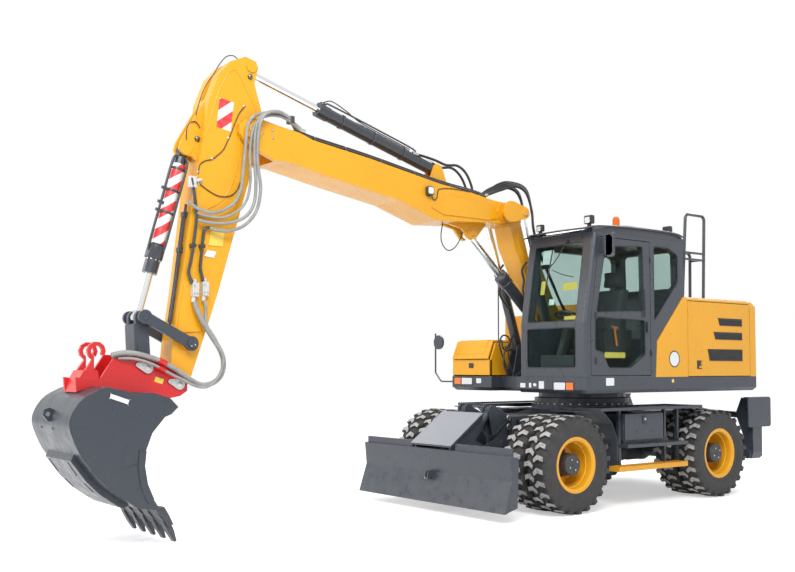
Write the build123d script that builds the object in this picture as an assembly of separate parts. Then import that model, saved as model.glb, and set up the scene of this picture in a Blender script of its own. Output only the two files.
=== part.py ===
from build123d import *
import os
from math import acos, atan2, cos, hypot, pi, radians, sin, sqrt

# Wheeled excavator with a two-piece adjustable boom, twin tyres, front blade and rear outriggers.
# Millimetres. +X forward, +Y to the machine's left, +Z up. The origin is on the ground under the
# slew axis. Points named in pairs are (x, z) in the machine's side view.

# ---- wheels and axles -------------------------------------------------------------------------
TYRE_R = 527.0            # out to the tips of the lugs
TYRE_W = 275.0
LUG_H = 28.0
LUGS = 12                 # lugs round each shoulder of a tyre
FLATS = 17                # flats round a tyre's carcass and a rim
BEAD_R = 262.0            # across the flats of the bead
BEAD_Y = 110.0            # half width of the tyre between the rim's lips
RIM_R = 300.0
RIM_T = 16.0
RIM_Y = 125.0             # half width of a rim over its lips
TWIN_GAP = 330.0          # centre to centre of the two tyres of a pair
TWIN_Y = 940.0            # middle of a pair
FRONT_AXLE_X = 1431.0
REAR_AXLE_X = -1089.0
KINGPIN_Y = 500.0
HUB_R = 118.0
AXLE_R = 105.0
DIFF_R = 155.0
DIFF_HALF = 150.0
GEARBOX = (130.0, 420.0)   # from the rear axle, forwards
FORK_Z = 150.0            # half height of the fork that holds a knuckle
BEAM_END = TWIN_Y - 192
STEER_AXIS = (1210.0, TYRE_R + 113)
STEER_REACH = 430.0

# ---- undercarriage ----------------------------------------------------------------------------
FRAME_HALF = 330.0
FRAME_Z0 = TYRE_R + 163
FRAME_Z1 = 1010.0
AXLE_PAD = 12.0           # gap between the gearbox and the frame above it
FRAME_FRONT = 1500.0
FRAME_REAR = -1850.0
RING_R = 580.0
TOWER_R = 600.0           # across the flats of the tower under the slewing ring
RING_Z0 = 1120.0
RING_Z1 = 1196.0
SLEW_GAP = 6.0
STEP_OUT = 1200.0
BOX_FACE = 1130.0         # outer face of the tool boxes
BOX_X = (-150.0, 530.0)
BOX_Z = (740.0, 1040.0)

# ---- blade and outriggers ---------------------------------------------------------------------
BLADE_X = 2431.0
BLADE_HALF = 1259.0
BLADE_PIVOT = (1640.0, 720.0)
BLADE_CHEEK = 285.0
BLADE_CYL_Y = 205.0
BLADE_CYL_BASE = (1740.0, 1085.0)
BLADE_CYL_EYE = (2200.0, 560.0)
EAR_T = 25.0
OUTRIGGER_X = -2000.0
OUTRIGGER_HALF = 105.0
OUTRIGGER_PIN = (1080.0, 470.0)
OUTRIGGER_BASE = (60.0, 990.0)
OUTRIGGER_EYE = (970.0, 950.0)
OUT_BARREL_L = 840.0
SLOT_HALF = 50.0          # half width of the slot the outrigger's cylinder works in

# ---- upper structure --------------------------------------------------------------------------
HALF_W = 1250.0
DECK_Z0 = 1280.0
DECK_Z1 = 1455.0
TAIL_R = 2230.0
DECK_FRONT_CAB = 1310.0
DECK_FRONT_BOX = 1050.0
DECK_FRONT_MID = 870.0
HOOD_TOP = 2400.0
HOOD_FRONT = -470.0
HOOD_REAR = 510.0 - TAIL_R
DECK_TOP_REAR = HOOD_REAR + 470    # rear edge of the fixed top panel, where the hood starts
PANEL_T = 28.0
SHUT = 8.0                # shut line round doors and lids
LOCKER_Y = -530.0         # inner face of the locker beside the boom

# ---- cab --------------------------------------------------------------------------------------
CAB_IN_Y = 235.0
CAB_WALL = 70.0
GLASS_T = 10.0
ROOF_Z = 3040.0
ROOF_TOP = 3165.0
CAB_SIDE = [
    (1290, 1455), (1290, 2050), (1130, ROOF_Z), (-400, ROOF_Z), (-420, 2440), (100, 1870), (130, 1455),
]

# ---- boom, arm and bucket ---------------------------------------------------------------------
BOOM_Y = -150.0           # the boom's middle plane
BOOM_HALF = 230.0
STUB_HALF = 140.0
ARM_HALF = 150.0
BOOM_FOOT = (280.0, 1880.0)
KNEE = (1380.0, 3370.0)   # joint of the two boom pieces
LIFT_PIN = (1170.0, 3372.0)
LIFT_FOOT = (660.0, 1800.0)
LIFT_Y = 300.0            # lift cylinders stand this far each side of the middle plane
ADJUST_PIN = (1750.0, 3119.0)
ADJUST_FOOT = (660.0, 2152.0)
ARM_PIVOT = (4700.0, 3875.0)
ARM_CYL_BASE = (2249.0, 3801.0)
ARM_CYL_EYE = (4690.0, 4505.0)
BUCKET_CYL_BASE = (5325.0, 3620.0)
LINK_PIN = (5757.0, 2018.0)
IDLER_PIN = (5301.0, 1783.0)
ARM_TIP = (5409.0, 1407.0)
COUPLER_PIN = (5721.0, 1556.0)
BUCKET_HALF = 500.0
TEETH = 5
PIN_CLEAR = 0.05          # radial running clearance of a hinge pin
EYE_HALF = 38.0           # half width of a cylinder's eye
LIGHT = (10, 14)          # flats round a small and a large bar, which keep the whole model light
LIGHT_R = 35.0            # from this radius on a bar is large

NODES = {}


def box(x0, x1, y0, y1, z0, z1):
    """A box between two corners."""
    return Pos((x0 + x1) / 2, (y0 + y1) / 2, (z0 + z1) / 2) * Box(x1 - x0, y1 - y0, z1 - z0)


def side_plate(points, y0, y1, holes=()):
    """A plate cut to an outline in the side view, from y0 to y1, with round holes (x, z, r)."""
    face = make_face(Polyline([(x, z) for x, z in points], close=True))
    for x, z, r in holes:
        face -= Pos(x, z) * Circle(r)
    solid = extrude(Plane.XZ * face, amount=y1 - y0)
    return Pos(0, y1, 0) * solid


def ring(r, bore):
    """The outline of a bar in flats that lie inside the circle, or of a bore in flats outside it."""
    return RegularPolygon(r, LIGHT[r >= LIGHT_R], major_radius=not bore)


def rod_y(centre, r, y0, y1, bore=False):
    """A bar along Y at a side-view point."""
    plane = Plane(origin=(centre[0], min(y0, y1), centre[1]), x_dir=(1, 0, 0), z_dir=(0, 1, 0))
    return extrude(plane * ring(r, bore), amount=abs(y1 - y0))


def pin_y(centre, r, y0, y1):
    """A true round pin along Y at a side-view point."""
    x, z = centre
    return Pos(x, (y0 + y1) / 2, z) * Rot(90, 0, 0) * Cylinder(r, abs(y1 - y0))


def rod_x(y, z, r, x0, x1, bore=False):
    """A bar along X."""
    plane = Plane(origin=(min(x0, x1), y, z), x_dir=(0, 1, 0), z_dir=(1, 0, 0))
    return extrude(plane * ring(r, bore), amount=abs(x1 - x0))


def bar(p, q, r, bore=False):
    """A bar between two points."""
    p, q = Vector(*p), Vector(*q)
    plane = Plane(origin=p, z_dir=q - p)
    return extrude(plane * ring(r, bore), amount=(q - p).length)


def prism(r, sides, z0, z1):
    """An upright prism about the slew axis, r across its flats."""
    turned = Rot(0, 0, 180 / sides) * RegularPolygon(r / cos(pi / sides), sides)
    return Pos(0, 0, z0) * extrude(turned, amount=z1 - z0)


def hull(a, ra, b, rb):
    """The straight part of a link between two circles in the side view, as four points."""
    reach = hypot(b[0] - a[0], b[1] - a[1])
    turn = atan2(b[1] - a[1], b[0] - a[0])
    lean = acos((ra - rb) / reach)
    tips = []
    for centre, r, way in ((a, ra, 1), (b, rb, 1), (b, rb, -1), (a, ra, -1)):
        tips.append((centre[0] + r * cos(turn + way * lean), centre[1] + r * sin(turn + way * lean)))
    return tips


def taper_link(a, ra, b, rb, y0, y1):
    """A link in the side view: the hull of two circles, from y0 to y1."""
    return side_plate(hull(a, ra, b, rb), y0, y1) + rod_y(a, ra, y0, y1) + rod_y(b, rb, y0, y1)


def toward(a, b, along):
    """The side-view point that lies along millimetres from a on the way to b."""
    reach = hypot(b[0] - a[0], b[1] - a[1])
    return (a[0] + (b[0] - a[0]) * along / reach, a[1] + (b[1] - a[1]) * along / reach)


def at(point, y):
    """A side-view point put at a distance across the machine."""
    return (point[0], y, point[1])


def fused(*shapes):
    """One shape from several that touch."""
    whole = shapes[0]
    for shape in shapes[1:]:
        whole = whole + shape
    return whole


def span(side, a, b):
    """Two distances across the machine, in rising order, on one side of it."""
    return sorted((side * a, side * b))


def end_plate(points, x0, x1):
    """A plate cut to an outline of (y, z) points, from x0 to x1."""
    face = make_face(Polyline([(y, z) for y, z in points], close=True))
    return Pos(x0, 0, 0) * extrude(Plane.YZ * face, amount=x1 - x0)


def plan_plate(points, z0, z1):
    """A plate cut to an outline of (x, y) points, from z0 to z1."""
    face = make_face(Polyline(points, close=True))
    return Pos(0, 0, z0) * extrude(face, amount=z1 - z0)


def cut_corners(points, size):
    """An outline with each corner cut off at a distance along both of its sides."""
    cut = []
    for n, here in enumerate(points):
        for there in (points[n - 1], points[(n + 1) % len(points)]):
            cut.append(toward(here, there, size))
    return cut


def strut(p, q, width):
    """A square bar between two points."""
    p, q = Vector(*p), Vector(*q)
    return extrude(Plane(origin=p, z_dir=q - p) * Rectangle(width, width), amount=(q - p).length)


def flats(profile, sides):
    """A closed profile of (r, y) points carried round the Y axis in flats; r is across the flats."""
    grow = 1 / cos(pi / sides)
    rings = []
    for k in range(sides):
        turn = 2 * pi * (k + 0.5) / sides
        rings.append([Vector(r * grow * cos(turn), y, r * grow * sin(turn)) for r, y in profile])
    faces = []
    for k, here in enumerate(rings):
        there = rings[(k + 1) % sides]
        for n in range(len(profile)):
            m = (n + 1) % len(profile)
            corners = [here[n], here[m], there[m], there[n]]
            if profile[n][0] == 0:
                corners = corners[:3]
            if profile[m][0] == 0:
                corners = [here[n], here[m], there[n]]
            if profile[n][0] or profile[m][0]:
                faces.append(Face(Wire.make_polygon(corners)))
    return Solid(Shell(faces))


def add(name, *shapes):
    """Keep a node's solids."""
    solids = []
    for shape in shapes:
        solids += shape.solids()
    NODES[name] = Compound(children=solids) if len(solids) > 1 else solids[0]


# ---- hydraulic cylinders ----------------------------------------------------------------------
# base pin, rod pin, middle y of each, barrel r, rod r, barrel length, eye r, pin r, stroke in from rest
CYLINDERS = {
    "lift": (LIFT_FOOT, LIFT_PIN, (BOOM_Y - LIFT_Y, BOOM_Y + LIFT_Y), 60.0, 37.0, 1000.0, 55.0, 30.0, 300.0),
    "adjust": (ADJUST_FOOT, ADJUST_PIN, (BOOM_Y,), 72.0, 45.0, 760.0, 62.0, 35.0, 308.0),
    "arm": (ARM_CYL_BASE, ARM_CYL_EYE, (BOOM_Y,), 70.0, 42.0, 1640.0, 58.0, 35.0, 606.0),
    "bucket": (BUCKET_CYL_BASE, LINK_PIN, (BOOM_Y,), 62.0, 38.0, 1230.0, 52.0, 32.0, 256.0),
    "blade": (
        BLADE_CYL_BASE, BLADE_CYL_EYE, (-BLADE_CYL_Y, BLADE_CYL_Y), 42.0, 26.0, 420.0, 42.0, 25.0, 124.0,
    ),
}
BORE_CLEAR = 1.0
CAP_T = 30.0              # closed end of a barrel, beyond its eye
GLAND_L = 140.0


def eye_end(pin, r, far, deep, half, y):
    """The flat eye at an end of a cylinder, with a neck as deep as given on the way to a far point."""
    root, tip = toward(pin, far, 0), toward(pin, far, deep)
    ux, uz = (tip[0] - root[0]) / deep, (tip[1] - root[1]) / deep
    neck = [
        (root[0] - uz * half, root[1] + ux * half), (tip[0] - uz * half, tip[1] + ux * half),
        (tip[0] + uz * half, tip[1] - ux * half), (root[0] + uz * half, root[1] - ux * half),
    ]
    return side_plate(neck, y - EYE_HALF, y + EYE_HALF) + rod_y(pin, r, y - EYE_HALF, y + EYE_HALF)


def cylinder_parts(name):
    """The barrels and the rods of one kind of cylinder, as two lists of solids."""
    base, tip, middles, barrel_r, rod_r, length, eye_r, pin_r, stroke = CYLINDERS[name]
    reach = hypot(tip[0] - base[0], tip[1] - base[1])
    deep = eye_r + 25 + CAP_T
    barrels, rods = [], []
    for y in middles:
        end = at(toward(base, tip, length), y)
        barrel = fused(
            bar(at(toward(base, tip, eye_r + 25), y), end, barrel_r),
            bar(at(toward(base, tip, length - GLAND_L), y), end, barrel_r + 8),
        )
        barrel -= bar(
            at(toward(base, tip, deep), y), at(toward(base, tip, length + 5), y), rod_r + BORE_CLEAR,
            bore=True,
        )
        barrel += eye_end(base, eye_r, tip, eye_r + 30, barrel_r * 0.6, y)
        barrel -= rod_y(base, pin_r + PIN_CLEAR, y - 50, y + 50, bore=True)
        barrels.append(barrel)
        rod = bar(
            at(toward(base, tip, deep + stroke), y), at(toward(base, tip, reach - eye_r - 15), y), rod_r,
        )
        rods.append(rod + eye_end(tip, eye_r, base, eye_r + 15, rod_r, y))
    return barrels, rods


def base_pins(name, half):
    """The pins that carry a kind of cylinder's base eyes, each half as long as given on each side."""
    base, middles, pin_r = CYLINDERS[name][0], CYLINDERS[name][2], CYLINDERS[name][7]
    return [rod_y(base, pin_r, y - half, y + half) for y in middles]


# ---- wheels -----------------------------------------------------------------------------------
def lug(way, turn):
    """One lug: a bar off the shoulder that narrows and leans on its way to the tread's middle."""
    half = TYRE_W / 2
    top = sqrt(TYRE_R ** 2 - 75 ** 2)
    outline = [(-75, half - 3), (75, half - 3), (75, 22), (-5, 22)]
    face = make_face(Polyline([(s, way * y) for s, y in outline], close=True))
    block = extrude(Plane.XY.offset(TYRE_R - 95) * face, amount=top - TYRE_R + 95)
    return Rot(0, turn, 0) * block


def tyre():
    """A tyre about the Y axis: a carcass in flats, with lugs set in turn along its two shoulders."""
    half, base = TYRE_W / 2, TYRE_R - LUG_H
    carcass = flats([
        (BEAD_R, -BEAD_Y), (430, -half), (base, -half + 22), (base, half - 22), (430, half), (BEAD_R, BEAD_Y),
    ], FLATS)
    pitch = 360 / LUGS
    lugs = [lug(way, (n + way / 4) * pitch) for n in range(LUGS) for way in (-1, 1)]
    return carcass.fuse(*lugs)


def rims(side):
    """The deep-dish rims of a twin pair with their shared disc and hub, for one side of the machine."""
    inner, outer = TWIN_Y - TWIN_GAP / 2, TWIN_Y + TWIN_GAP / 2
    seat_r, in_r = BEAD_R - 0.5, BEAD_R - RIM_T
    profile = [
        (in_r, inner - RIM_Y), (RIM_R, inner - RIM_Y), (seat_r, inner - BEAD_Y - 6),
        (seat_r, inner + BEAD_Y + 6),
        (RIM_R, TWIN_Y), (seat_r, outer - BEAD_Y - 6), (seat_r, outer + BEAD_Y + 6), (RIM_R, outer + RIM_Y),
        (in_r, outer + RIM_Y), (in_r - 14, TWIN_Y + 20), (HUB_R, TWIN_Y + 20), (HUB_R, TWIN_Y + 250),
        (0, TWIN_Y + 250), (0, TWIN_Y - 190), (HUB_R, TWIN_Y - 190), (HUB_R, TWIN_Y - 20),
        (in_r - 14, TWIN_Y - 20),
    ]
    return flats([(r, side * y) for r, y in profile[::side]], FLATS)


WHEELS = (
    ("front_left", FRONT_AXLE_X, 1),
    ("front_right", FRONT_AXLE_X, -1),
    ("rear_left", REAR_AXLE_X, 1),
    ("rear_right", REAR_AXLE_X, -1),
)
TYRE = tyre()
for place, axle_x, side in WHEELS:
    seat = Pos(axle_x, 0, TYRE_R)
    ys = [side * (TWIN_Y - TWIN_GAP / 2), side * (TWIN_Y + TWIN_GAP / 2)]
    add("tyres_" + place, *[seat * Pos(0, y, 0) * TYRE for y in ys])
    add("rims_" + place, seat * rims(side))

# ---- axles and knuckles -----------------------------------------------------------------------
def differential(x):
    """The bulged middle of an axle, turned about the Y axis."""
    bulge = [
        (0, -DIFF_HALF), (AXLE_R, -DIFF_HALF), (DIFF_R, -60), (DIFF_R, 60), (AXLE_R, DIFF_HALF),
        (0, DIFF_HALF),
    ]
    return Pos(x, 0, TYRE_R) * flats(bulge, 12)


gear_x0, gear_x1 = REAR_AXLE_X + GEARBOX[0], REAR_AXLE_X + GEARBOX[1]
rear_beam = rod_y((REAR_AXLE_X, TYRE_R), AXLE_R, -BEAM_END, BEAM_END) + differential(REAR_AXLE_X)
for side in (-1, 1):
    rear_beam += box(REAR_AXLE_X - 90, REAR_AXLE_X + 90, *span(side, 230, FRAME_HALF), TYRE_R, FRAME_Z0)
gearbox = box(gear_x0, gear_x1, -DIFF_R, DIFF_R, TYRE_R - DIFF_R + 20, FRAME_Z0 - AXLE_PAD)
neck = box(REAR_AXLE_X + 60, gear_x0, -80, 80, TYRE_R - 80, TYRE_R + 80)
shaft = rod_x(0, TYRE_R, 38, gear_x1, FRONT_AXLE_X - DIFF_R - 12)
add("rear_axle", fused(rear_beam, gearbox, neck, shaft))

fork_x0, fork_x1 = FRONT_AXLE_X - 60, FRONT_AXLE_X + 60
front_beam = rod_y(
    (FRONT_AXLE_X, TYRE_R), AXLE_R, -KINGPIN_Y + 125, KINGPIN_Y - 125,
) + differential(FRONT_AXLE_X)
front_beam += box(FRONT_AXLE_X - 100, FRONT_AXLE_X + 45, -130, 130, TYRE_R, FRAME_Z0)
for side in (-1, 1):
    jaw = [
        (KINGPIN_Y - 170, -FORK_Z), (KINGPIN_Y + 60, -FORK_Z), (KINGPIN_Y + 60, 30 - FORK_Z),
        (KINGPIN_Y - 125, 30 - FORK_Z),
    ]
    jaw += [(y, -z) for y, z in jaw[::-1]]
    front_beam += end_plate([(side * y, TYRE_R + z) for y, z in jaw], fork_x0, fork_x1)
front_beam += rod_y(STEER_AXIS, 42, -180, 180)
front_beam += box(STEER_AXIS[0], FRONT_AXLE_X, -60, 60, STEER_AXIS[1] - 25, STEER_AXIS[1] + 25)
front_beam -= rod_y(STEER_AXIS, 24.1, -200, 200, bore=True)
add("front_axle", front_beam)
add("steering_rod", rod_y(STEER_AXIS, 24, -STEER_REACH, STEER_REACH))

for name, side in (("knuckle_left", 1), ("knuckle_right", -1)):
    body = Pos(FRONT_AXLE_X, side * KINGPIN_Y, 0) * prism(78, 16, TYRE_R - FORK_Z + 35, TYRE_R + FORK_Z - 35)
    spindle = rod_y((FRONT_AXLE_X, TYRE_R), 70, side * KINGPIN_Y, side * BEAM_END)
    arm = box(
        STEER_AXIS[0] - 10, FRONT_AXLE_X, *span(side, KINGPIN_Y - 50, KINGPIN_Y), TYRE_R + 85, TYRE_R + 113,
    )
    add(name, fused(body, spindle, arm))

# ---- chassis frame ----------------------------------------------------------------------------
OUT_X0 = OUTRIGGER_X - OUTRIGGER_HALF
OUT_X1 = OUTRIGGER_X + OUTRIGGER_HALF
frame_side = [
    (OUT_X0, 480), (OUT_X1, 480), (OUT_X1, FRAME_Z0), (FRAME_FRONT, FRAME_Z0), (FRAME_FRONT, FRAME_Z1),
    (RING_R + 250, FRAME_Z1), (RING_R + 10, FRAME_Z1 + 50), (-RING_R - 10, FRAME_Z1 + 50),
    (-RING_R - 250, FRAME_Z1), (OUT_X0, FRAME_Z1),
]
tower = prism(TOWER_R, 12, FRAME_Z1 - 30, RING_Z0)
slew_ring = prism(RING_R, 36, RING_Z0, RING_Z1)
frame = fused(side_plate(frame_side, -FRAME_HALF, FRAME_HALF), tower, slew_ring)
frame -= box(OUT_X0 - 50, OUT_X1, -FRAME_HALF - 10, FRAME_HALF + 10, 520, 1200)
for side in (-1, 1):
    # a pocket in each flank leaves the frame's rails and webs standing out
    frame -= box(
        620, FRAME_FRONT - 60, *span(side, FRAME_HALF - 60, FRAME_HALF + 10), FRAME_Z0 + 40, FRAME_Z1 - 40,
    )
    frame -= box(-1780, -900, *span(side, FRAME_HALF - 60, FRAME_HALF + 10), FRAME_Z0 + 40, FRAME_Z1 - 40)
ear_top = BLADE_CYL_BASE[1]
blade_ear = [
    (FRAME_FRONT - 20, 640), (1690, 640), (1720, 700), (1800, ear_top - 20), (1800, ear_top + 20),
    (1770, ear_top + 58),
    (1710, ear_top + 58), (1680, ear_top + 20), (FRAME_FRONT + 40, 1040), (FRAME_FRONT - 20, 1000),
]
for y in (BLADE_CYL_Y - EYE_HALF - 4 - EAR_T, BLADE_CYL_Y + EYE_HALF + 4):
    for side in (-1, 1):
        frame += side_plate(blade_ear, *span(side, y, y + EAR_T))
for side in (-1, 1):
    frame += pin_y(BLADE_PIVOT, 35, *span(side, BLADE_CYL_Y + EYE_HALF + 4 + EAR_T, BLADE_CHEEK + EAR_T + 12))
frame = fused(frame, *base_pins("blade", EYE_HALF + 4))
bracket = [
    (-OUTRIGGER_BASE[0], 1050), (-FRAME_HALF, 1010), (-OUTRIGGER_PIN[0] - 20, 540),
    (-OUTRIGGER_PIN[0] - 50, 500),
    (-OUTRIGGER_PIN[0] - 50, 440), (-OUTRIGGER_PIN[0] - 20, 410), (-FRAME_HALF, 470),
]
bracket += [(-y, z) for y, z in bracket[::-1]]
for x in (OUT_X0 - 30, OUT_X1):
    frame += end_plate(bracket, x, x + 30)
for side in (-1, 1):
    frame += rod_x(side * OUTRIGGER_BASE[0], OUTRIGGER_BASE[1], 22, OUT_X0, OUT_X1)
    for x0, x1 in ((OUT_X0, OUTRIGGER_X - SLOT_HALF), (OUTRIGGER_X + SLOT_HALF, OUT_X1)):
        frame += rod_x(side * OUTRIGGER_PIN[0], OUTRIGGER_PIN[1], 30, x0, x1)
add("chassis_frame", frame)

# ---- outriggers -------------------------------------------------------------------------------
out_y, out_z = OUTRIGGER_PIN
leg_outline = [
    (out_y - 60, out_z - 60), (out_y + 45, out_z - 60), (out_y + 75, out_z + 20), (out_y + 75, 1160),
    (out_y - 90, 1180), (out_y - 165, 1000), (out_y - 155, 920), (out_y - 70, 700),
]
base, tip = OUTRIGGER_BASE, OUTRIGGER_EYE
reach = hypot(tip[0] - base[0], tip[1] - base[1])
shield = cut_corners([
    (OUTRIGGER_X - 270, 810), (OUTRIGGER_X + 220, 810), (OUTRIGGER_X + 220, 1190), (OUTRIGGER_X - 270, 1190),
], 25)
for side, place in ((1, "left"), (-1, "right")):
    leg = end_plate([(side * y, z) for y, z in leg_outline], OUT_X0 + 6, OUT_X1 - 6)
    leg -= box(
        OUTRIGGER_X - SLOT_HALF, OUTRIGGER_X + SLOT_HALF, *span(side, out_y - 250, out_y + 30), out_z - 100,
        1140,
    )
    leg += side_plate(shield, *span(side, out_y + 75, out_y + 95))
    leg += box(OUTRIGGER_X - 245, OUTRIGGER_X + 195, *span(side, out_y + 10, out_y + 95), 1160, 1190)
    leg -= rod_x(side * out_y, out_z, 30 + PIN_CLEAR, OUT_X0 - 50, OUT_X1 + 50, bore=True)
    add(f"outrigger_{place}", leg)

    def along(t, side=side):
        """A point on the outrigger cylinder's line, a distance from its base pin."""
        y, z = toward(base, tip, t)
        return (OUTRIGGER_X, side * y, z)

    def out_eye(pin, r, far, side=side):
        """The flat eye at an end of the outrigger's cylinder, with its neck."""
        neck = strut((OUTRIGGER_X, side * pin[0], pin[1]), (OUTRIGGER_X, side * far[0], far[1]), 40)
        return neck + rod_x(side * pin[0], pin[1], r, OUTRIGGER_X - EYE_HALF, OUTRIGGER_X + EYE_HALF)

    barrel = bar(along(55), along(OUT_BARREL_L), 40)
    barrel -= bar(along(75), along(OUT_BARREL_L + 5), 24 + BORE_CLEAR, bore=True)
    barrel += out_eye(base, 38, toward(base, tip, 60))
    barrel -= rod_x(side * base[0], base[1], 22 + PIN_CLEAR, OUTRIGGER_X - 60, OUTRIGGER_X + 60, bore=True)
    add(f"outrigger_barrel_{place}", barrel)
    add(
        f"outrigger_rod_{place}",
        bar(along(80), along(reach - 50), 24) + out_eye(tip, 38, toward(base, tip, reach - 55)),
    )

# ---- blade ------------------------------------------------------------------------------------
bx, bp, be = BLADE_X, BLADE_PIVOT, BLADE_CYL_EYE
mould = [(bx + 71, 101), (bx - 36, 418), (bx - 12, 671), (bx - 46, 676), (bx - 68, 418), (bx + 30, 105)]
wing_end = [(bx + 71, 101), (bx - 36, 418), (bx - 12, 671), (bx - 130, 650), (bx - 110, 150)]
cheek = [
    (bp[0] - 50, bp[1] - 50), (bp[0] + 60, bp[1] - 60), (bx - 100, 260), (bx - 50, 300), (bx - 30, 690),
    (bx, 715),
    (1960, 1060), (1930, 1045), (1930, 900), (2040, 760), (1900, 700), (bp[0] + 40, bp[1] + 60),
    (bp[0] - 40, bp[1] + 50),
]
lug_line = [
    (be[0] - 45, be[1] - 45), (bx - 60, 330), (bx - 60, 420), (be[0] + 20, be[1] + 55),
    (be[0] - 40, be[1] + 40),
]
cover = [(1960, 1060), (bx, 715), (bx - 10, 700), (1950, 1046)]
nose_lug = [(bx - 50, 370), (bx + 40, 352), (bx + 58, 372), (bx + 58, 408), (bx + 40, 428), (bx - 50, 440)]
blade = side_plate(mould, -BLADE_HALF, BLADE_HALF)
blade += box(bx - 130, bx - 55, -BLADE_HALF + 20, BLADE_HALF - 20, 300, 420)
blade += side_plate(cover, -350, 350)
for side in (-1, 1):
    blade += side_plate(wing_end, *span(side, BLADE_HALF - 20, BLADE_HALF))
    blade += box(bx - 75, bx - 45, *span(side, 370, BLADE_HALF - 20), 660, 745)
    blade += side_plate(cheek, *span(side, BLADE_CHEEK, BLADE_CHEEK + EAR_T))
    blade -= rod_y(bp, 35 + PIN_CLEAR, *span(side, BLADE_CHEEK - 10, BLADE_CHEEK + EAR_T + 10), bore=True)
    blade += side_plate(nose_lug, *span(side, 18, 34))
    for y in (BLADE_CYL_Y - EYE_HALF - 24, BLADE_CYL_Y + EYE_HALF + 4):
        blade += side_plate(lug_line, *span(side, y, y + 20))
add("blade", blade)
barrels, rods = cylinder_parts("blade")
add("blade_barrels", *barrels)
add("blade_rods", *rods)

# ---- steps, wings and tool boxes --------------------------------------------------------------
wing_line = [(580, 440), (580, 750), (660, 930), (800, 1058), (1000, 1068), (1180, 1072)]
wing_top = [(x, z + 12) for x, z in wing_line[:1:-1]] + [(568, 752), (568, 440)]
STEP_X = (-520.0, 568.0)
STEP_TUBES = (-500.0, -260.0, 538.0)
steps, lockers = [], []
for side in (1, -1):
    strip = side_plate(wing_line + wing_top, *span(side, 620, 1060))
    tread = box(-800, 1000, *span(side, 640, STEP_OUT), 1082, 1115)
    tread -= box(-780, 980, *span(side, 660, STEP_OUT - 20), 1100, 1120)
    arm = box(-300, 500, *span(side, TOWER_R + 20, 1000), 1070, 1083)
    low = box(*STEP_X, *span(side, 1010, STEP_OUT), 662, 700)
    bottom = box(STEP_X[0], 700, *span(side, 1040, STEP_OUT - 8), 405, 460)
    bottom -= box(STEP_X[0] + 20, 680, *span(side, 1060, STEP_OUT - 28), 440, 470)
    posts = [box(x, x + 30, *span(side, 1040, 1080), 450, 1085) for x in STEP_TUBES]
    cross = box(-300, 500, *span(side, FRAME_HALF, 1080), 700, 740)
    steps.append(fused(tread, strip, arm, low, cross, bottom, *posts))
    outer = box(*BOX_X, *span(side, TOWER_R + 20, BOX_FACE - 20), *BOX_Z)
    hollow = box(
        BOX_X[0] + 12, BOX_X[1] - 12, *span(side, TOWER_R + 40, BOX_FACE), BOX_Z[0] + 12, BOX_Z[1] - 12,
    )
    lockers.append(outer - hollow)
    name = "left" if side > 0 else "right"
    middle = (BOX_X[0] + BOX_X[1]) / 2
    lid = box(BOX_X[0] + 4, BOX_X[1] - 4, *span(side, BOX_FACE - 18, BOX_FACE), BOX_Z[0] + 4, BOX_Z[1] - 4)
    lid += box(middle - 30, middle + 30, *span(side, BOX_FACE, BOX_FACE + 10), BOX_Z[1] - 120, BOX_Z[1] - 25)
    add(f"tool_box_lid_{name}", lid)
add("side_steps", *steps)
add("tool_boxes", *lockers)

# ---- upper structure: deck --------------------------------------------------------------------
def tail_x(y, r=TAIL_R):
    """Where the round tail is at a distance across the machine."""
    return -sqrt(r * r - y * y)


def deck_outline(inset=0.0):
    """The deck in plan: square front corners, round tail about the slew axis."""
    half = HALF_W - inset
    r = TAIL_R - inset
    return Polyline([
        (tail_x(half, r), half), (DECK_FRONT_CAB - inset, half), (DECK_FRONT_CAB - inset, CAB_IN_Y - 30),
        (DECK_FRONT_MID, CAB_IN_Y - 30), (DECK_FRONT_MID, LOCKER_Y + 20),
        (DECK_FRONT_BOX - inset, LOCKER_Y + 20),
        (DECK_FRONT_BOX - inset, -half), (tail_x(half, r), -half),
    ]) + ThreePointArc((tail_x(half, r), -half), (-r, 0), (tail_x(half, r), half))


EDGE = 40.0
plan = make_face(deck_outline())
front_left = [v for v in plan.vertices() if v.X > DECK_FRONT_CAB - 5 and v.Y > HALF_W - 5]
plan = fillet(front_left, 90)
deck = Pos(0, 0, DECK_Z0) * extrude(plan, amount=DECK_Z1 - DECK_Z0)
deck = chamfer(deck.faces().sort_by(Axis.Z)[0].edges(), EDGE)
deck += prism(RING_R - 50, 24, RING_Z1 + SLEW_GAP, DECK_Z0 + 1)
foot_plate = [
    (60, DECK_Z1 - 5), (840, DECK_Z1 - 5), (420, 1760), (390, 1950), (340, 1992), (225, 1992), (170, 1950),
    (120, 1800),
]
for side in (-1, 1):
    deck += side_plate(
        foot_plate, *sorted((BOOM_Y + side * (STUB_HALF + 6), BOOM_Y + side * (STUB_HALF + 36))),
    )
deck += pin_y(BOOM_FOOT, 50, BOOM_Y - STUB_HALF - 10, BOOM_Y + STUB_HALF + 10)
lift_lug = [(560, DECK_Z1 - 5), (800, DECK_Z1 - 5), (720, 1810), (690, 1855), (630, 1855), (600, 1810)]
for middle in (BOOM_Y - LIFT_Y, BOOM_Y + LIFT_Y):
    for y in (middle - EYE_HALF - 22, middle + EYE_HALF + 4):
        deck += side_plate(lift_lug, y, y + 18)
deck = fused(deck, *base_pins("lift", EYE_HALF + 10))
add("deck", deck)

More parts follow.
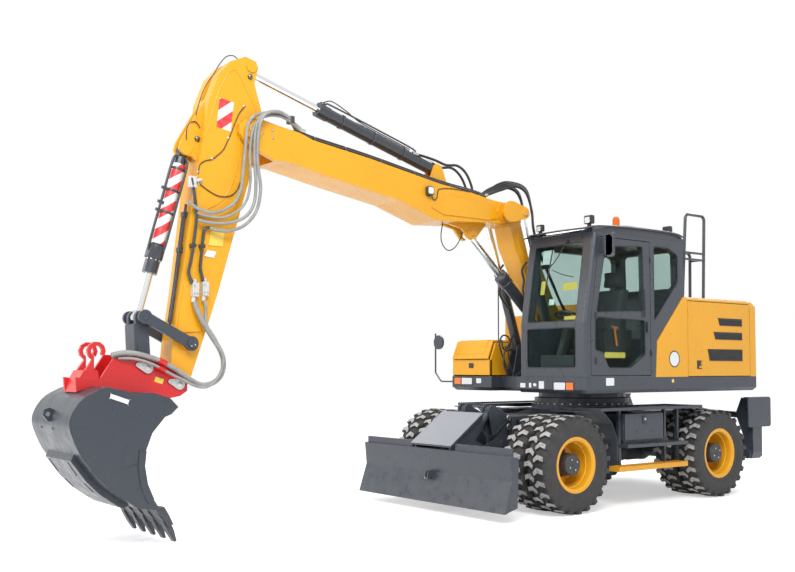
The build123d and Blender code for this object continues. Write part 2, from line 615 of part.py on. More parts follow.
# ---- engine bay -------------------------------------------------------------------------------
rear_line = HOOD_REAR - SHUT
cowl = make_face(
    Polyline([(tail_x(HALF_W), HALF_W), (rear_line, HALF_W), (rear_line, -HALF_W), (tail_x(HALF_W), -HALF_W)])
    + ThreePointArc((tail_x(HALF_W), -HALF_W), (-TAIL_R, 0), (tail_x(HALF_W), HALF_W))
)
weight = Pos(0, 0, DECK_Z1) * extrude(cowl, amount=HOOD_TOP - 12 - DECK_Z1)
rear_edge = [e for e in weight.faces().sort_by(Axis.Z)[-1].edges() if e.center().X < rear_line - 10]
weight = chamfer(rear_edge, 60, 45)
add("counterweight", weight)


def hood_section(inset):
    """The hood's top across the machine, its long edges sloped off; inset leaves a shell's hollow."""
    half, top = HALF_W - 4 - inset, HOOD_TOP - inset
    return [
        (-half, HOOD_TOP - 42), (-half, top - 26), (-half + 40, top), (half - 40, top), (half, top - 26),
        (half, HOOD_TOP - 42),
    ]


panels = []
front_panel = [
    (120, DECK_Z1), (89, 1866), (-394, HOOD_TOP - 4), (HOOD_FRONT, HOOD_TOP - 4), (HOOD_FRONT, DECK_Z1),
]
front_inner = [(90, DECK_Z1 - 5), (62, 1853), (-410, 2370), (HOOD_FRONT, 2370), (HOOD_FRONT, DECK_Z1 - 5)]
front_shell = side_plate(front_panel, CAB_IN_Y, HALF_W)
long_edges = [
    e for e in front_shell.edges()
    if e.center().Y > HALF_W - 1 and e.center().Z > 1900 and e.center().X > HOOD_FRONT + 5
]
front_shell = chamfer(long_edges, 22)
panels.append(front_shell - side_plate(front_inner, CAB_IN_Y + 25, HALF_W - PANEL_T))
panels.append(end_plate(hood_section(0), DECK_TOP_REAR, HOOD_FRONT))
bulkhead = box(HOOD_FRONT, HOOD_FRONT + 30, -HALF_W + 4, HALF_W - PANEL_T, DECK_Z1, HOOD_TOP - 4)
for side in (-1, 1):
    bulkhead += box(
        HOOD_FRONT - 40, HOOD_FRONT, *span(side, HALF_W - 90, HALF_W - 60), DECK_Z1, HOOD_TOP - 30,
    )
panels.append(bulkhead)
add("hood_panels", fused(*panels))

door_outline = [
    (HOOD_FRONT - SHUT, DECK_Z1 + SHUT), (HOOD_REAR + 4, DECK_Z1 + SHUT), (HOOD_REAR + 4, HOOD_TOP - 50),
    (HOOD_FRONT - SHUT, HOOD_TOP - 50),
]
# each louvre: front x at its foot, front x at its top, foot z, top z
LOUVRE_REAR = HOOD_REAR + 160
LOUVRES = (
    (LOUVRE_REAR + 470, LOUVRE_REAR + 510, 2070, 2170), (LOUVRE_REAR + 560, LOUVRE_REAR + 600, 1900, 2000),
    (LOUVRE_REAR + 680, LOUVRE_REAR + 720, 1640, 1790),
)
for side, place in ((1, "left"), (-1, "right")):
    door = side_plate(door_outline, *span(side, HALF_W - PANEL_T, HALF_W))
    for x0, x1, z0, z1 in LOUVRES:
        door -= side_plate(
            [(LOUVRE_REAR, z0), (x0, z0), (x1, z1), (LOUVRE_REAR, z1)], *span(side, HALF_W - 16, HALF_W + 5),
        )
        for k in (1, 2):
            z = z0 + (z1 - z0) * k / 3
            door += box(LOUVRE_REAR, x0, *span(side, HALF_W - 16, HALF_W - 6), z - 5, z + 5)
    door -= box(-745, -640, *span(side, HALF_W - 12, HALF_W + 5), 1545, 1650)
    door += box(-735, -690, *span(side, HALF_W - 14, HALF_W - 2), 1560, 1640)
    add(f"engine_door_{place}", door)
hood = end_plate(hood_section(0), HOOD_REAR + 4, DECK_TOP_REAR - SHUT)
hood -= box(HOOD_REAR + 40, DECK_TOP_REAR - 45, -HALF_W + 60, HALF_W - 60, HOOD_TOP - 60, HOOD_TOP - 15)
add("engine_hood", hood)
add("engine", box(HOOD_REAR + 140, HOOD_FRONT - 170, -420, 520, DECK_Z1, 2180))

# ---- right side: locker and tank --------------------------------------------------------------
tank = box(HOOD_FRONT + 30, 380, -HALF_W, LOCKER_Y, DECK_Z1, 2250)
locker_side = [
    (388, DECK_Z1), (DECK_FRONT_BOX - 6, DECK_Z1), (DECK_FRONT_BOX - 6, 1660), (960, 1872), (388, 1872),
]
inner_side = [
    (410, DECK_Z1 + 20), (DECK_FRONT_BOX - 30, DECK_Z1 + 20), (DECK_FRONT_BOX - 30, 1655), (945, 1900),
    (410, 1900),
]
locker = side_plate(locker_side, -HALF_W, LOCKER_Y) - side_plate(inner_side, -HALF_W + 25, LOCKER_Y - 25)
lid_line = [
    (400, 1880), (964, 1880), (DECK_FRONT_BOX + 2, 1668), (DECK_FRONT_BOX + 20, 1676), (976, 1900),
    (400, 1900),
]
locker -= side_plate(
    [(380, 1872), (1100, 1872), (1100, 1664), (DECK_FRONT_BOX - 6, 1664), (962, 1866), (380, 1866)],
    -HALF_W - 5, LOCKER_Y + 5,
)
add("right_body", tank, locker)
lid = side_plate(lid_line, -HALF_W + 20, LOCKER_Y - 30)
ridge = [
    (440, 1900), (976, 1900), (DECK_FRONT_BOX - 10, 1732), (DECK_FRONT_BOX - 2, 1738), (984, 1908),
    (440, 1908),
]
add("locker_lid", lid + side_plate(ridge, -HALF_W + 90, LOCKER_Y - 110))

# ---- cab --------------------------------------------------------------------------------------
def slant(z):
    """Where the leaning windscreen plane is at a height."""
    (x0, z0), (x1, z1) = CAB_SIDE[1], CAB_SIDE[2]
    return x0 + (x1 - x0) * (z - z0) / (z1 - z0)


def pane_y(x_at, y0, y1, z0, z1, t=GLASS_T):
    """An upright or leaning pane across the machine; x_at gives its outer face at a height."""
    strip = side_plate([(x_at(z0), z0), (x_at(z1), z1), (x_at(z1) - t, z1), (x_at(z0) - t, z0)], y0, y1)
    return strip & end_plate(cut_corners([(y0, z0), (y1, z0), (y1, z1), (y0, z1)], 30), -1000, 2000)


W = CAB_WALL
IN_SIDE = [
    (1290 - W, 1525), (1290 - W, 2045), (1130 - W, 2985), (-345, 2985), (-360, 2460), (160, 1895),
    (190, 1525),
]
UP_PANE = (355, 1100, 2070, 2950)      # y0, y1, z0, z1 of the upper windscreen
LOW_PANE = (355, 1100, 1560, 2000)
DOOR_HOLE = [(205, 1470), (1215, 1470), (1215, 2060), (1062, 3000), (205, 3000)]
DOOR_LINE = [(213, 1478), (1207, 1478), (1207, 2058), (1055, 2992), (213, 2992)]
DOOR_UP = [(320, 2200), (1120, 2160), (960, 2900), (330, 2940)]
DOOR_LOW = [(300, 1705), (560, 1555), (925, 1555), (1020, 1725), (1146, 1750), (1140, 2120), (300, 2100)]
REAR_SIDE = [(140, 2090), (140, 2960), (-110, 2960), (-300, 2880), (-300, 2560)]
RIGHT_UP = [(1110, 2100), (985, 2930), (-250, 2930), (-300, 2880), (-300, 2560), (100, 2110)]
BACK_PANE = (380, 1100, 2500, 2930)
shell = side_plate(CAB_SIDE, CAB_IN_Y, HALF_W)
corner_posts = [
    e for e in shell.edges() if e.center().X > 1150 and e.length > 300 and e.bounding_box().size.Y < 1
]
shell = fillet(corner_posts, 42) - side_plate(IN_SIDE, CAB_IN_Y + W, HALF_W - W)
ROOF = [
    (1119, 3094), (922, 3138), (516, 3165), (-197, 3165), (-402, 3138), (-496, 3072), (-496, ROOF_Z),
    (1140, ROOF_Z),
]
roof = side_plate(ROOF, CAB_IN_Y + 20, HALF_W - 30)
roof_edges = [e for e in roof.edges() if e.center().Z > 3080 and e.bounding_box().size.Y < 1]
shell += chamfer(roof_edges, 24)
for pane, x0, x1 in ((UP_PANE, 1000, 1400), (LOW_PANE, 1150, 1400), (BACK_PANE, -500, -300)):
    y0, y1, z0, z1 = pane
    shell -= end_plate(cut_corners([(y0, z0), (y1, z0), (y1, z1), (y0, z1)], 30), x0, x1)
shell -= side_plate(DOOR_HOLE, HALF_W - W - 5, HALF_W + 5)
shell -= side_plate(cut_corners(REAR_SIDE, 30), HALF_W - W - 5, HALF_W + 5)
shell -= side_plate(cut_corners(RIGHT_UP, 30), CAB_IN_Y - 5, CAB_IN_Y + W + 5)
for z in (1700, 2760):
    shell += box(181, 209, HALF_W, HALF_W + 14, z, z + 60)
add("cab_shell", shell)
add(
    "cab_glass",
    pane_y(lambda z: slant(z) - 12, *UP_PANE),
    pane_y(lambda z: 1278, *LOW_PANE),
    pane_y(lambda z: -385 + 0.033 * (z - 2500), *BACK_PANE),
    side_plate(cut_corners(REAR_SIDE, 30), HALF_W - 22, HALF_W - 12),
    side_plate(cut_corners(RIGHT_UP, 30), CAB_IN_Y + 12, CAB_IN_Y + 22),
)
door = side_plate(DOOR_LINE, HALF_W - W, HALF_W)
for opening in (DOOR_UP, DOOR_LOW):
    door -= side_plate(cut_corners(opening, 30), HALF_W - W - 5, HALF_W + 5)
mirror_y = HALF_W + 80, HALF_W + 180
mirror = cut_corners([(mirror_y[0], 2760), (mirror_y[1], 2760), (mirror_y[1], 3030), (mirror_y[0], 3030)], 22)
mirror_arm = strut((1035, HALF_W - 10, 2840), (1030, HALF_W + 130, 2900), 22) + end_plate(mirror, 1012, 1046)
handle = box(250, 290, HALF_W, HALF_W + 30, 1960, 1978) + box(250, 290, HALF_W, HALF_W + 30, 2062, 2080)
handle += box(250, 290, HALF_W + 18, HALF_W + 30, 1960, 2080)
door += fused(mirror_arm, handle)
add("cab_door", door)
add(
    "door_glass",
    *[side_plate(cut_corners(hole, 30), HALF_W - 22, HALF_W - 12) for hole in (DOOR_UP, DOOR_LOW)],
)

SEAT_Y = (CAB_IN_Y + HALF_W) / 2
station = fused(
    side_plate([
        (300, 1525), (700, 1525), (640, 1600), (720, 1700), (720, 1780), (280, 1780), (280, 1700),
        (360, 1600),
    ],
               SEAT_Y - 210, SEAT_Y + 210),
    side_plate([(330, 1525), (760, 1525), (800, 1960), (760, 1990), (330, 1990)], SEAT_Y - 330, SEAT_Y - 250),
    side_plate([(330, 1700), (760, 1700), (800, 1960), (760, 1990), (330, 1990)], SEAT_Y + 250, SEAT_Y + 330),
    box(330, 700, SEAT_Y + 200, SEAT_Y + 330, 1700, 1780),
    box(300, 720, SEAT_Y - 255, SEAT_Y - 205, 1700, 1780),
    side_plate([(1090, 1525), (1205, 1525), (1205, 1700), (1140, 1700)], SEAT_Y - 250, SEAT_Y + 250),
    strut((1160, SEAT_Y, 1650), (985, SEAT_Y, 2120), 70),
    strut((740, SEAT_Y - 290, 1985), (760, SEAT_Y - 290, 2170), 40),
    strut((740, SEAT_Y + 290, 1985), (760, SEAT_Y + 290, 2170), 40),
)
WHEEL_R = 185.0
wheel_plane = Plane(origin=(985, SEAT_Y, 2120), z_dir=(-165, 0, 440))
hoop = RegularPolygon(WHEEL_R, 16) - RegularPolygon(WHEEL_R - 30, 16)
station += extrude(wheel_plane * hoop, amount=24)
station += extrude(wheel_plane * Rectangle(2 * WHEEL_R - 40, 46), amount=16)
add("operator_station", station)
cushion = side_plate(
    cut_corners([(285, 1780), (760, 1780), (775, 1905), (285, 1890)], 28), SEAT_Y - 225, SEAT_Y + 225,
)
backrest = side_plate(
    cut_corners([(290, 1900), (405, 1900), (330, 2500), (200, 2500)], 25), SEAT_Y - 220, SEAT_Y + 220,
)
headrest = side_plate(
    cut_corners([(215, 2495), (290, 2495), (270, 2690), (195, 2690)], 20), SEAT_Y - 130, SEAT_Y + 130,
)
add("seat_cushions", cushion, backrest + headrest)

# ---- rails and lamps --------------------------------------------------------------------------
def tube(points, r, bend=60):
    """A bent six-sided tube through points in space, bends rounded."""
    path = Polyline(points) if len(points) < 3 else FilletPolyline(*points, radius=bend)
    return sweep(Plane(origin=path @ 0, z_dir=path % 0) * RegularPolygon(r, 6), path=path)


RAIL_R = 19.0
RAIL_Y = 1010.0
rail_loops = (
    ([(-700, HOOD_TOP), (-780, 3445), (-1150, 3445), (-1112, HOOD_TOP)], RAIL_Y),
    ([(-770, HOOD_TOP), (-815, 2990), (-1060, 2990), (-1050, HOOD_TOP)], RAIL_Y - 150),
)
rails = fused(*[tube([(x, y, z) for x, z in loop], RAIL_R) for loop, y in rail_loops])
rails += box(-1140, -735, RAIL_Y - 14, RAIL_Y + 14, 2960, 2984)
rails += box(-1140, -735, RAIL_Y - 14, RAIL_Y + 14, 2880, 2904)
for x in (-1090, -800):
    rails += box(x, x + 24, RAIL_Y - 160, RAIL_Y + 5, 2880, 2904)
rails -= box(-2000, 0, 700, 1100, HOOD_TOP - 50, HOOD_TOP)
MIRROR = (DECK_FRONT_BOX + 100, -HALF_W - 136, 1890.0)
MIRROR_STEM_Y = MIRROR[1] - 84
mirror_tube = tube(
    [
        (DECK_FRONT_BOX - 1, -HALF_W + 50, 1386), (DECK_FRONT_BOX + 70, MIRROR[1] - 4, 1386),
        (MIRROR[0], MIRROR_STEM_Y, 1500), (MIRROR[0], MIRROR_STEM_Y, 2007),
    ],
    11,
    bend=30,
)
mirror_head = Pos(*MIRROR) * Rot(0, 90, 0) * extrude(RegularPolygon(92, 16), amount=26)
mirror_head += box(MIRROR[0], MIRROR[0] + 14, MIRROR_STEM_Y - 5, MIRROR[1] - 60, 1880, 1900)
pole = Pos(900, LOCKER_Y - 12, 1866) * extrude(RegularPolygon(8, 6), amount=700)
mirror_tube -= box(0, DECK_FRONT_BOX, -HALF_W, 0, 1300, 1450)
add("rails", rails, mirror_tube + mirror_head, pole)


def roof_z(x):
    """How high the roof is at a distance along it."""
    for (x1, z1), (x0, z0) in zip(ROOF, ROOF[1:]):
        if x0 <= x <= x1:
            return z0 + (z1 - z0) * (x - x0) / (x1 - x0)
    return ROOF_TOP


def roof_lamp(x, y, size, lift):
    """A square lamp on a bracket whose foot lies on the roof."""
    foot = [
        (x - 25, roof_z(x - 25)), (x + 25, roof_z(x + 25)), (x + 12, roof_z(x) + lift),
        (x - 12, roof_z(x) + lift),
    ]
    z0 = roof_z(x) + lift - 5
    head = cut_corners([
        (x - 0.35 * size, z0), (x + 0.35 * size, z0), (x + 0.35 * size, z0 + size),
        (x - 0.35 * size, z0 + size),
    ], 12)
    return side_plate(foot, y - 15, y + 15) + side_plate(head, y - size / 2, y + size / 2)


BEACON = (253.0, 800.0)
dome = [(0, 0), (55, 0), (55, 26), (44, 30), (40, 150), (26, 172), (0, 176)]
beacon = Pos(BEACON[0], BEACON[1], ROOF_TOP) * Rot(90, 0, 0) * flats([(r, z) for r, z in dome], 12)
add(
    "lamps", beacon, roof_lamp(1035, 1085, 95, 45), roof_lamp(1035, 330, 80, 40),
    roof_lamp(-440, 1000, 95, 60),
)

# ---- lower boom -------------------------------------------------------------------------------
yb = BOOM_Y
stub_line = [
    (200, 1990), (480, 2400), (800, 3000), (1000, 3330), (1100, 3480), (1380, 3495), (1490, 3440),
    (1505, 3370),
    (1480, 3285), (1380, 3245), (1190, 3235), (1130, 3000), (910, 2600), (520, 1900), (400, 1800),
]
stub = side_plate(stub_line, yb - STUB_HALF, yb + STUB_HALF) + rod_y(
    BOOM_FOOT, 112, yb - STUB_HALF, yb + STUB_HALF,
)
stub += taper_link(KNEE, 124, LIFT_PIN, 90, yb - 190, yb + 190)
stub -= bar(at(toward(ADJUST_FOOT, ADJUST_PIN, -95), yb), at(toward(ADJUST_FOOT, ADJUST_PIN, 600), yb), 90)
stub -= rod_y(ADJUST_FOOT, 95, yb - 80, yb + 80)
stub = fused(stub, *base_pins("adjust", 75))
foot_boss = [(560, 2080), (600, 2030), (700, 2080), (740, 2160), (700, 2240), (620, 2250)]
rib_plate = [(330, 2080), (470, 2050), (1080, 3050), (1110, 3220), (1010, 3230), (860, 2990)]
for side in (-1, 1):
    stub += side_plate(foot_boss, *sorted((yb + side * 70, yb + side * 110)))
    stub += side_plate(rib_plate, *sorted((yb + side * (STUB_HALF - 5), yb + side * (STUB_HALF + 10))))
    stub += taper_link(KNEE, 124, LIFT_PIN, 70, *sorted((yb + side * 344, yb + side * 369)))
stub += pin_y(KNEE, 60, yb - 344, yb + 344)
stub -= rod_y(BOOM_FOOT, 50 + PIN_CLEAR, yb - 200, yb + 200, bore=True)
add("lower_boom", stub)
for kind, plural in (("lift", "s"), ("adjust", ""), ("arm", ""), ("bucket", "")):
    barrels, rods = cylinder_parts(kind)
    add(f"{kind}_barrel{plural}", *barrels)
    add(f"{kind}_rod{plural}", *rods)

# ---- upper boom -------------------------------------------------------------------------------
top_line = [(1353, 3488), (1547, 3500), (1865, 3552), (2351, 3605), (3307, 3765), (4002, 3860), (4165, 3912)]
low_line = [(4306, 3602), (3686, 3487), (2910, 3361), (2632, 3270), (2376, 3190), (1575, 3236)]
nose = [
    (4403, 3947), (4585, 3981), (4780, 3965), (4845, 3900), (4845, 3820), (4770, 3730), (4634, 3664),
    (4455, 3598),
]
tail = [(1420, 3240), (1300, 3262), (1248, 3340), (1268, 3440)]
upper = side_plate(top_line + nose + low_line + tail, yb - BOOM_HALF, yb + BOOM_HALF)
knee_slot = rod_y(KNEE, 140, yb - 196, yb + 196) + box(1100, 1400, yb - 196, yb + 196, 3100, 3600)
upper -= knee_slot
fork_slot = [(4345, 4100), (4345, 3940), (4440, 3590), (4400, 3400), (5000, 3400), (5000, 4100)]
upper -= side_plate(fork_slot, yb - 180, yb + 180)
lug_line = [
    (1523, 3242), (1690, 3060), (1760, 3040), (1811, 3060), (1900, 3160), (2132, 3205), (2132, 3260),
    (1523, 3260),
]
arm_cyl_lug = [
    (2080, 3560), (2190, 3840), (2249, 3868), (2300, 3850), (2322, 3800), (2340, 3700), (2560, 3620),
]
doubler = [(1440, 3300), (1640, 3262), (2300, 3262), (2480, 3330), (2200, 3500), (1640, 3440)]
for side in (-1, 1):
    upper += side_plate(lug_line, *sorted((yb + side * 48, yb + side * 84)))
    upper += rod_y(ADJUST_PIN, 74, *sorted((yb + side * 48, yb + side * 94)))
    upper += side_plate(arm_cyl_lug, *sorted((yb + side * 44, yb + side * 72)))
    upper += side_plate(doubler, *sorted((yb + side * (BOOM_HALF - 5), yb + side * (BOOM_HALF + 10))))
    upper += rod_y(KNEE, 118, *sorted((yb + side * 228, yb + side * 256)))
    upper += rod_y(ARM_PIVOT, 105, *sorted((yb + side * 180, yb + side * 250)))
upper = fused(upper, *base_pins("arm", 50))
upper -= rod_y(KNEE, 60 + PIN_CLEAR, yb - 300, yb + 300, bore=True)
upper += pin_y(ARM_PIVOT, 55, yb - 185, yb + 185)
add("upper_boom", upper)

# ---- arm --------------------------------------------------------------------------------------
arm_rear = [
    (4639, 4560), (4615, 4500), (4656, 4342), (4605, 4177), (4576, 4083), (4708, 3343), (5000, 2304),
    (5172, 1778), (5300, 1404),
]
arm_front = [
    (5495, 1415), (5464, 1774), (5390, 2285), (5259, 3329), (5180, 3800), (5140, 4108), (5039, 4372),
    (4915, 4516), (4754, 4592),
]
arm_widths = [(122, 1300), (130, 2300), (150, 3300), (172, 3600), (172, 4700)]
front_view = [(yb + w, z) for w, z in arm_widths] + [(yb - w, z) for w, z in arm_widths[::-1]]
arm = side_plate(arm_rear + arm_front, yb - 200, yb + 200) & end_plate(front_view, 4000, 6000)
arm += rod_y(ARM_TIP, 88, yb - 122, yb + 122)
arm -= side_plate([(4400, 4130), (5200, 4130), (5200, 4800), (4400, 4800)], yb - 44, yb + 44)
cyl_lug = [(5140, 4108), (5259, 3904), (5375, 3698), (5395, 3625), (5350, 3565), (5262, 3560), (5200, 3500)]
side_doubler = [(5185, 1900), (5420, 1880), (5405, 2080), (5362, 2330), (5290, 2390), (5100, 2200)]
for side in (-1, 1):
    arm += side_plate(cyl_lug, *sorted((yb + side * 44, yb + side * 72)))
    arm += side_plate(side_doubler, *sorted((yb + side * 110, yb + side * 138)))
    arm += rod_y(IDLER_PIN, 62, *sorted((yb + side * 110, yb + side * 158)))
    arm += rod_y(ARM_CYL_EYE, 60, *sorted((yb + side * 120, yb + side * 186)))
    arm += rod_y(BUCKET_CYL_BASE, 56, *sorted((yb + side * 60, yb + side * 84)))
arm -= rod_y(BUCKET_CYL_BASE, 62, yb - 44, yb + 44)
arm = fused(arm, *base_pins("bucket", 60))
arm += pin_y(IDLER_PIN, 36, yb - 196, yb + 196)
arm -= rod_y(ARM_PIVOT, 55 + PIN_CLEAR, yb - 300, yb + 300, bore=True)
arm -= rod_y(ARM_TIP, 40 + PIN_CLEAR, yb - 300, yb + 300, bore=True)
add("arm", arm)

# ---- bucket linkage ---------------------------------------------------------------------------
idler = []
for side in (-1, 1):
    y0, y1 = sorted((yb + side * 165, yb + side * 193))
    idler.append(side_plate(
        hull(IDLER_PIN, 50, LINK_PIN, 50), y0, y1,
    ) + rod_y(IDLER_PIN, 70, y0, y1) + rod_y(LINK_PIN, 66, y0, y1))
    idler.append(rod_y(LINK_PIN, 30, *sorted((yb + side * 58, yb + side * 200))))
idler = fused(*idler)
idler -= rod_y(IDLER_PIN, 36 + PIN_CLEAR, yb - 300, yb + 300, bore=True)
add("idler_links", idler)
H_FRONT = [(5792, 1640), (5814, 1640), (5832, 1950), (5810, 1960)]
tipping = [taper_link(LINK_PIN, 62, COUPLER_PIN, 58, *sorted((yb + s * 60, yb + s * 105))) for s in (-1, 1)]
web = toward(LINK_PIN, COUPLER_PIN, 290)
tipping = fused(*tipping, box(web[0] - 40, web[0] + 40, yb - 62, yb + 62, web[1] - 150, web[1] + 40))
tipping += side_plate(H_FRONT, yb - 105, yb + 105)
tipping -= rod_y(LINK_PIN, 30 + PIN_CLEAR, yb - 300, yb + 300, bore=True)
add("tipping_link", tipping)

# ---- quick coupler and bucket -----------------------------------------------------------------
bucket_top = [(5650, 1292), (5805, 1338), (5979, 1342), (6216, 1395)]
bucket_back = [
    (6290, 1373), (6422, 1301), (6506, 1197), (6537, 1093), (6513, 987), (6437, 826), (6305, 650),
    (6193, 535),
    (6024, 415), (5944, 355), (5722, 313),
]
mouth_edge = [
    (5790, 418), (5850, 554), (5878, 709), (5866, 840), (5810, 991), (5696, 1126), (5636, 1149), (5569, 1212),
]


def band(points, t):
    """A strip of thickness t to the right of a line of points, as a closed outline."""
    inner = []
    for n, (x, z) in enumerate(points):
        (xa, za), (xb, zb) = points[max(n - 1, 0)], points[min(n + 1, len(points) - 1)]
        run = hypot(xb - xa, zb - za)
        inner.append((x + t * (zb - za) / run, z - t * (xb - xa) / run))
    return points + inner[::-1]


coupler = [
    (5330, 1345), (5400, 1298), (5600, 1262), *bucket_top, (6290, 1373), (6364, 1345), (6375, 1476),
    (6163, 1450),
    (6013, 1677), (5704, 1661), (5330, 1460),
]
plates = [side_plate(coupler, *sorted((yb + s * 133, yb + s * 163))) for s in (-1, 1)]
base_plate = side_plate(
    bucket_top + [(6216, 1425), (5979, 1370), (5805, 1366), (5680, 1330)], yb - 133, yb + 133,
)
block_line = [
    (6364, 1345), (6342, 1440), (6290, 1536), (6166, 1536), (6146, 1412), (6216, 1395), (6290, 1373),
]
block = side_plate(block_line, yb - 133, yb + 133)


def load_hook(centre, r, t, foot_x):
    """An open lifting hook: a bent bar from a foot on the block, round a centre, open towards the arm."""
    turns = [radians(a) for a in range(-65, 216, 35)]
    outer = [(centre[0] + r * cos(a), centre[1] + r * sin(a)) for a in turns]
    inner = [(centre[0] + (r - t) * cos(a), centre[1] + (r - t) * sin(a)) for a in turns[::-1]]
    return [(foot_x[1], 1520)] + outer + inner + [(foot_x[0], 1520)]


hooks = [side_plate(
    load_hook((6175, 1705), 84, 34, (6195, 6285)), yb + y - 18, yb + y + 18,
) for y in (-100, 100)]
covers = []
for side in (-1, 1):
    for pin in (ARM_TIP, COUPLER_PIN):
        covers.append(taper_link(
            pin, 56, (pin[0] + 95, pin[1] + 28), 24, *sorted((yb + side * 160, yb + side * 175)),
        ))
pins = [pin_y(ARM_TIP, 40, yb - 140, yb + 140)]
pins += [rod_y(COUPLER_PIN, 46, *sorted((yb + s * 112, yb + s * 140))) for s in (-1, 1)]
add("quick_coupler", fused(*plates, base_plate, block, *hooks, *pins, *covers))

outline = bucket_top + bucket_back
sides = [side_plate(outline + mouth_edge, *sorted((yb + s * 474, yb + s * BUCKET_HALF))) for s in (-1, 1)]
bucket = side_plate(band(outline, 26), yb - BUCKET_HALF, yb + BUCKET_HALF)
bucket += side_plate(
    [(5722, 313), (5790, 350), (5700, 240), (5650, 165), (5630, 175), (5668, 265)], yb - BUCKET_HALF,
    yb + BUCKET_HALF,
)
adaptor = [(5690, 345), (5770, 340), (5735, 262), (5668, 196), (5600, 180), (5640, 262)]
tooth = [(5708, 262), (5690, 200), (5640, 110), (5585, 30), (5565, 36), (5590, 130), (5636, 232)]
for n in range(TEETH):
    y = yb + (n - (TEETH - 1) / 2) * (2 * BUCKET_HALF - 110) / (TEETH - 1)
    bucket += side_plate(adaptor, y - 50, y + 50)
    bucket += side_plate(tooth, y - 36, y + 36)
# wear plate round the heel, side cutters along the mouth, and an ear with an eye on the back
heel = [(6437, 826), (6305, 650), (6193, 535), (6024, 415), (5944, 355)]
bucket += side_plate(
    heel + [(6014, 342), (6102, 398), (6212, 476), (6327, 590), (6462, 770)], yb - 330, yb + 330,
)
for side in (-1, 1):
    cutter = band([(5790, 418), (5850, 554), (5878, 709), (5866, 840)], 62)
    bucket += side_plate(cutter, *sorted((yb + side * (BUCKET_HALF - 5), yb + side * (BUCKET_HALF + 14))))
ear = [(6506, 1197), (6537, 1093), (6560, 1100), (6600, 1150), (6590, 1200), (6545, 1215)]
ear_plate = side_plate(ear, yb - 14, yb + 14) - rod_y((6558, 1158), 20, yb - 30, yb + 30)
add("bucket", fused(bucket, *sides, ear_plate))

os.makedirs("parts", exist_ok=True)
for name, shape in NODES.items():
    export_step(shape, f"parts/{name}.step")
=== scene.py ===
import math
import bmesh
import bpy
import numpy as np
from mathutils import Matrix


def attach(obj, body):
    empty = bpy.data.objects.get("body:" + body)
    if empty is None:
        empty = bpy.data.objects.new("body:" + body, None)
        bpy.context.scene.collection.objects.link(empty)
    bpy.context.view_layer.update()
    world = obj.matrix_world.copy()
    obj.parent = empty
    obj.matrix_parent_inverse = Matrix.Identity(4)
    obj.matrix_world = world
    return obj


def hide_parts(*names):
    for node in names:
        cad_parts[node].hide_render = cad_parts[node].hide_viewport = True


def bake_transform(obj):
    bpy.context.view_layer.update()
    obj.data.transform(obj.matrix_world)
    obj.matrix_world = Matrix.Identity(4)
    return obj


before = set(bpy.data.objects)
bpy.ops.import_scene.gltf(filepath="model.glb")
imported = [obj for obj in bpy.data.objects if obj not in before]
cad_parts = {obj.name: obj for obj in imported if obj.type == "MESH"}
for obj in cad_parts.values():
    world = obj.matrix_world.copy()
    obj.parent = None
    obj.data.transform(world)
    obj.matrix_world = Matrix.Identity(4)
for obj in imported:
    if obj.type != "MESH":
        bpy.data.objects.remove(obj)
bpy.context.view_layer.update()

# ---- Studio: a white floor that keeps a soft shadow, a large key light, two fill lights, and the
# camera at head height in front of the left corner of the machine.


def new_finish(name):
    """A material, its node tree and its shader."""
    mat = bpy.data.materials.new(name)
    mat.use_nodes = True
    return mat, mat.node_tree, mat.node_tree.nodes["Principled BSDF"]


def combine(tree, operation, a, b):
    """One sum, product or comparison of two values, either of which may be a number."""
    node = tree.nodes.new("ShaderNodeMath")
    node.operation = operation
    for socket, value in zip(node.inputs, (a, b)):
        if isinstance(value, (int, float)):
            socket.default_value = value
        else:
            tree.links.new(value, socket)
    return node.outputs[0]


def plain_sight(tree):
    """One for camera, glass and gloss rays, and nothing for the others."""
    ray = tree.nodes.new("ShaderNodeLightPath")
    seen = combine(tree, "MAXIMUM", ray.outputs["Is Camera Ray"], ray.outputs["Is Transmission Ray"])
    return combine(tree, "MAXIMUM", seen, ray.outputs["Is Glossy Ray"])


def floor_finish():
    """The floor: camera, gloss and glass see plain white, dimmed only where the object's shadow falls."""
    mat, tree, shader = new_finish("studio_floor")
    shader.inputs["Base Color"].default_value = (0.9, 0.9, 0.9, 1)
    shader.inputs["Roughness"].default_value = 0.9
    shader.inputs["Emission Color"].default_value = (1, 1, 1, 1)
    glow = combine(tree, "MULTIPLY", plain_sight(tree), 0.45)
    tree.links.new(glow, shader.inputs["Emission Strength"])
    return mat


def area_light(name, place, target, size, power):
    """A square soft box at a place, turned to a target."""
    lamp = bpy.data.lights.new(name, "AREA")
    lamp.size = size
    lamp.energy = power
    obj = bpy.data.objects.new(name, lamp)
    bpy.context.collection.objects.link(obj)
    obj.location = place
    aim = np.array(target, float) - np.array(place, float)
    yaw = math.atan2(aim[1], aim[0]) - math.pi / 2
    pitch = math.atan2(aim[2], math.hypot(aim[0], aim[1])) + math.pi / 2
    obj.rotation_euler = (pitch, 0, yaw)
    return obj


floor_mesh = bpy.data.meshes.new("studio_floor")
FLOOR_HALF = 60
floor_corners = [(a * FLOOR_HALF, b * FLOOR_HALF, 0) for a, b in ((-1, -1), (1, -1), (1, 1), (-1, 1))]
floor_mesh.from_pydata(floor_corners, [], [(0, 1, 2, 3)])
studio_floor = bpy.data.objects.new("studio_floor", floor_mesh)
bpy.context.collection.objects.link(studio_floor)
floor_mesh.materials.append(floor_finish())

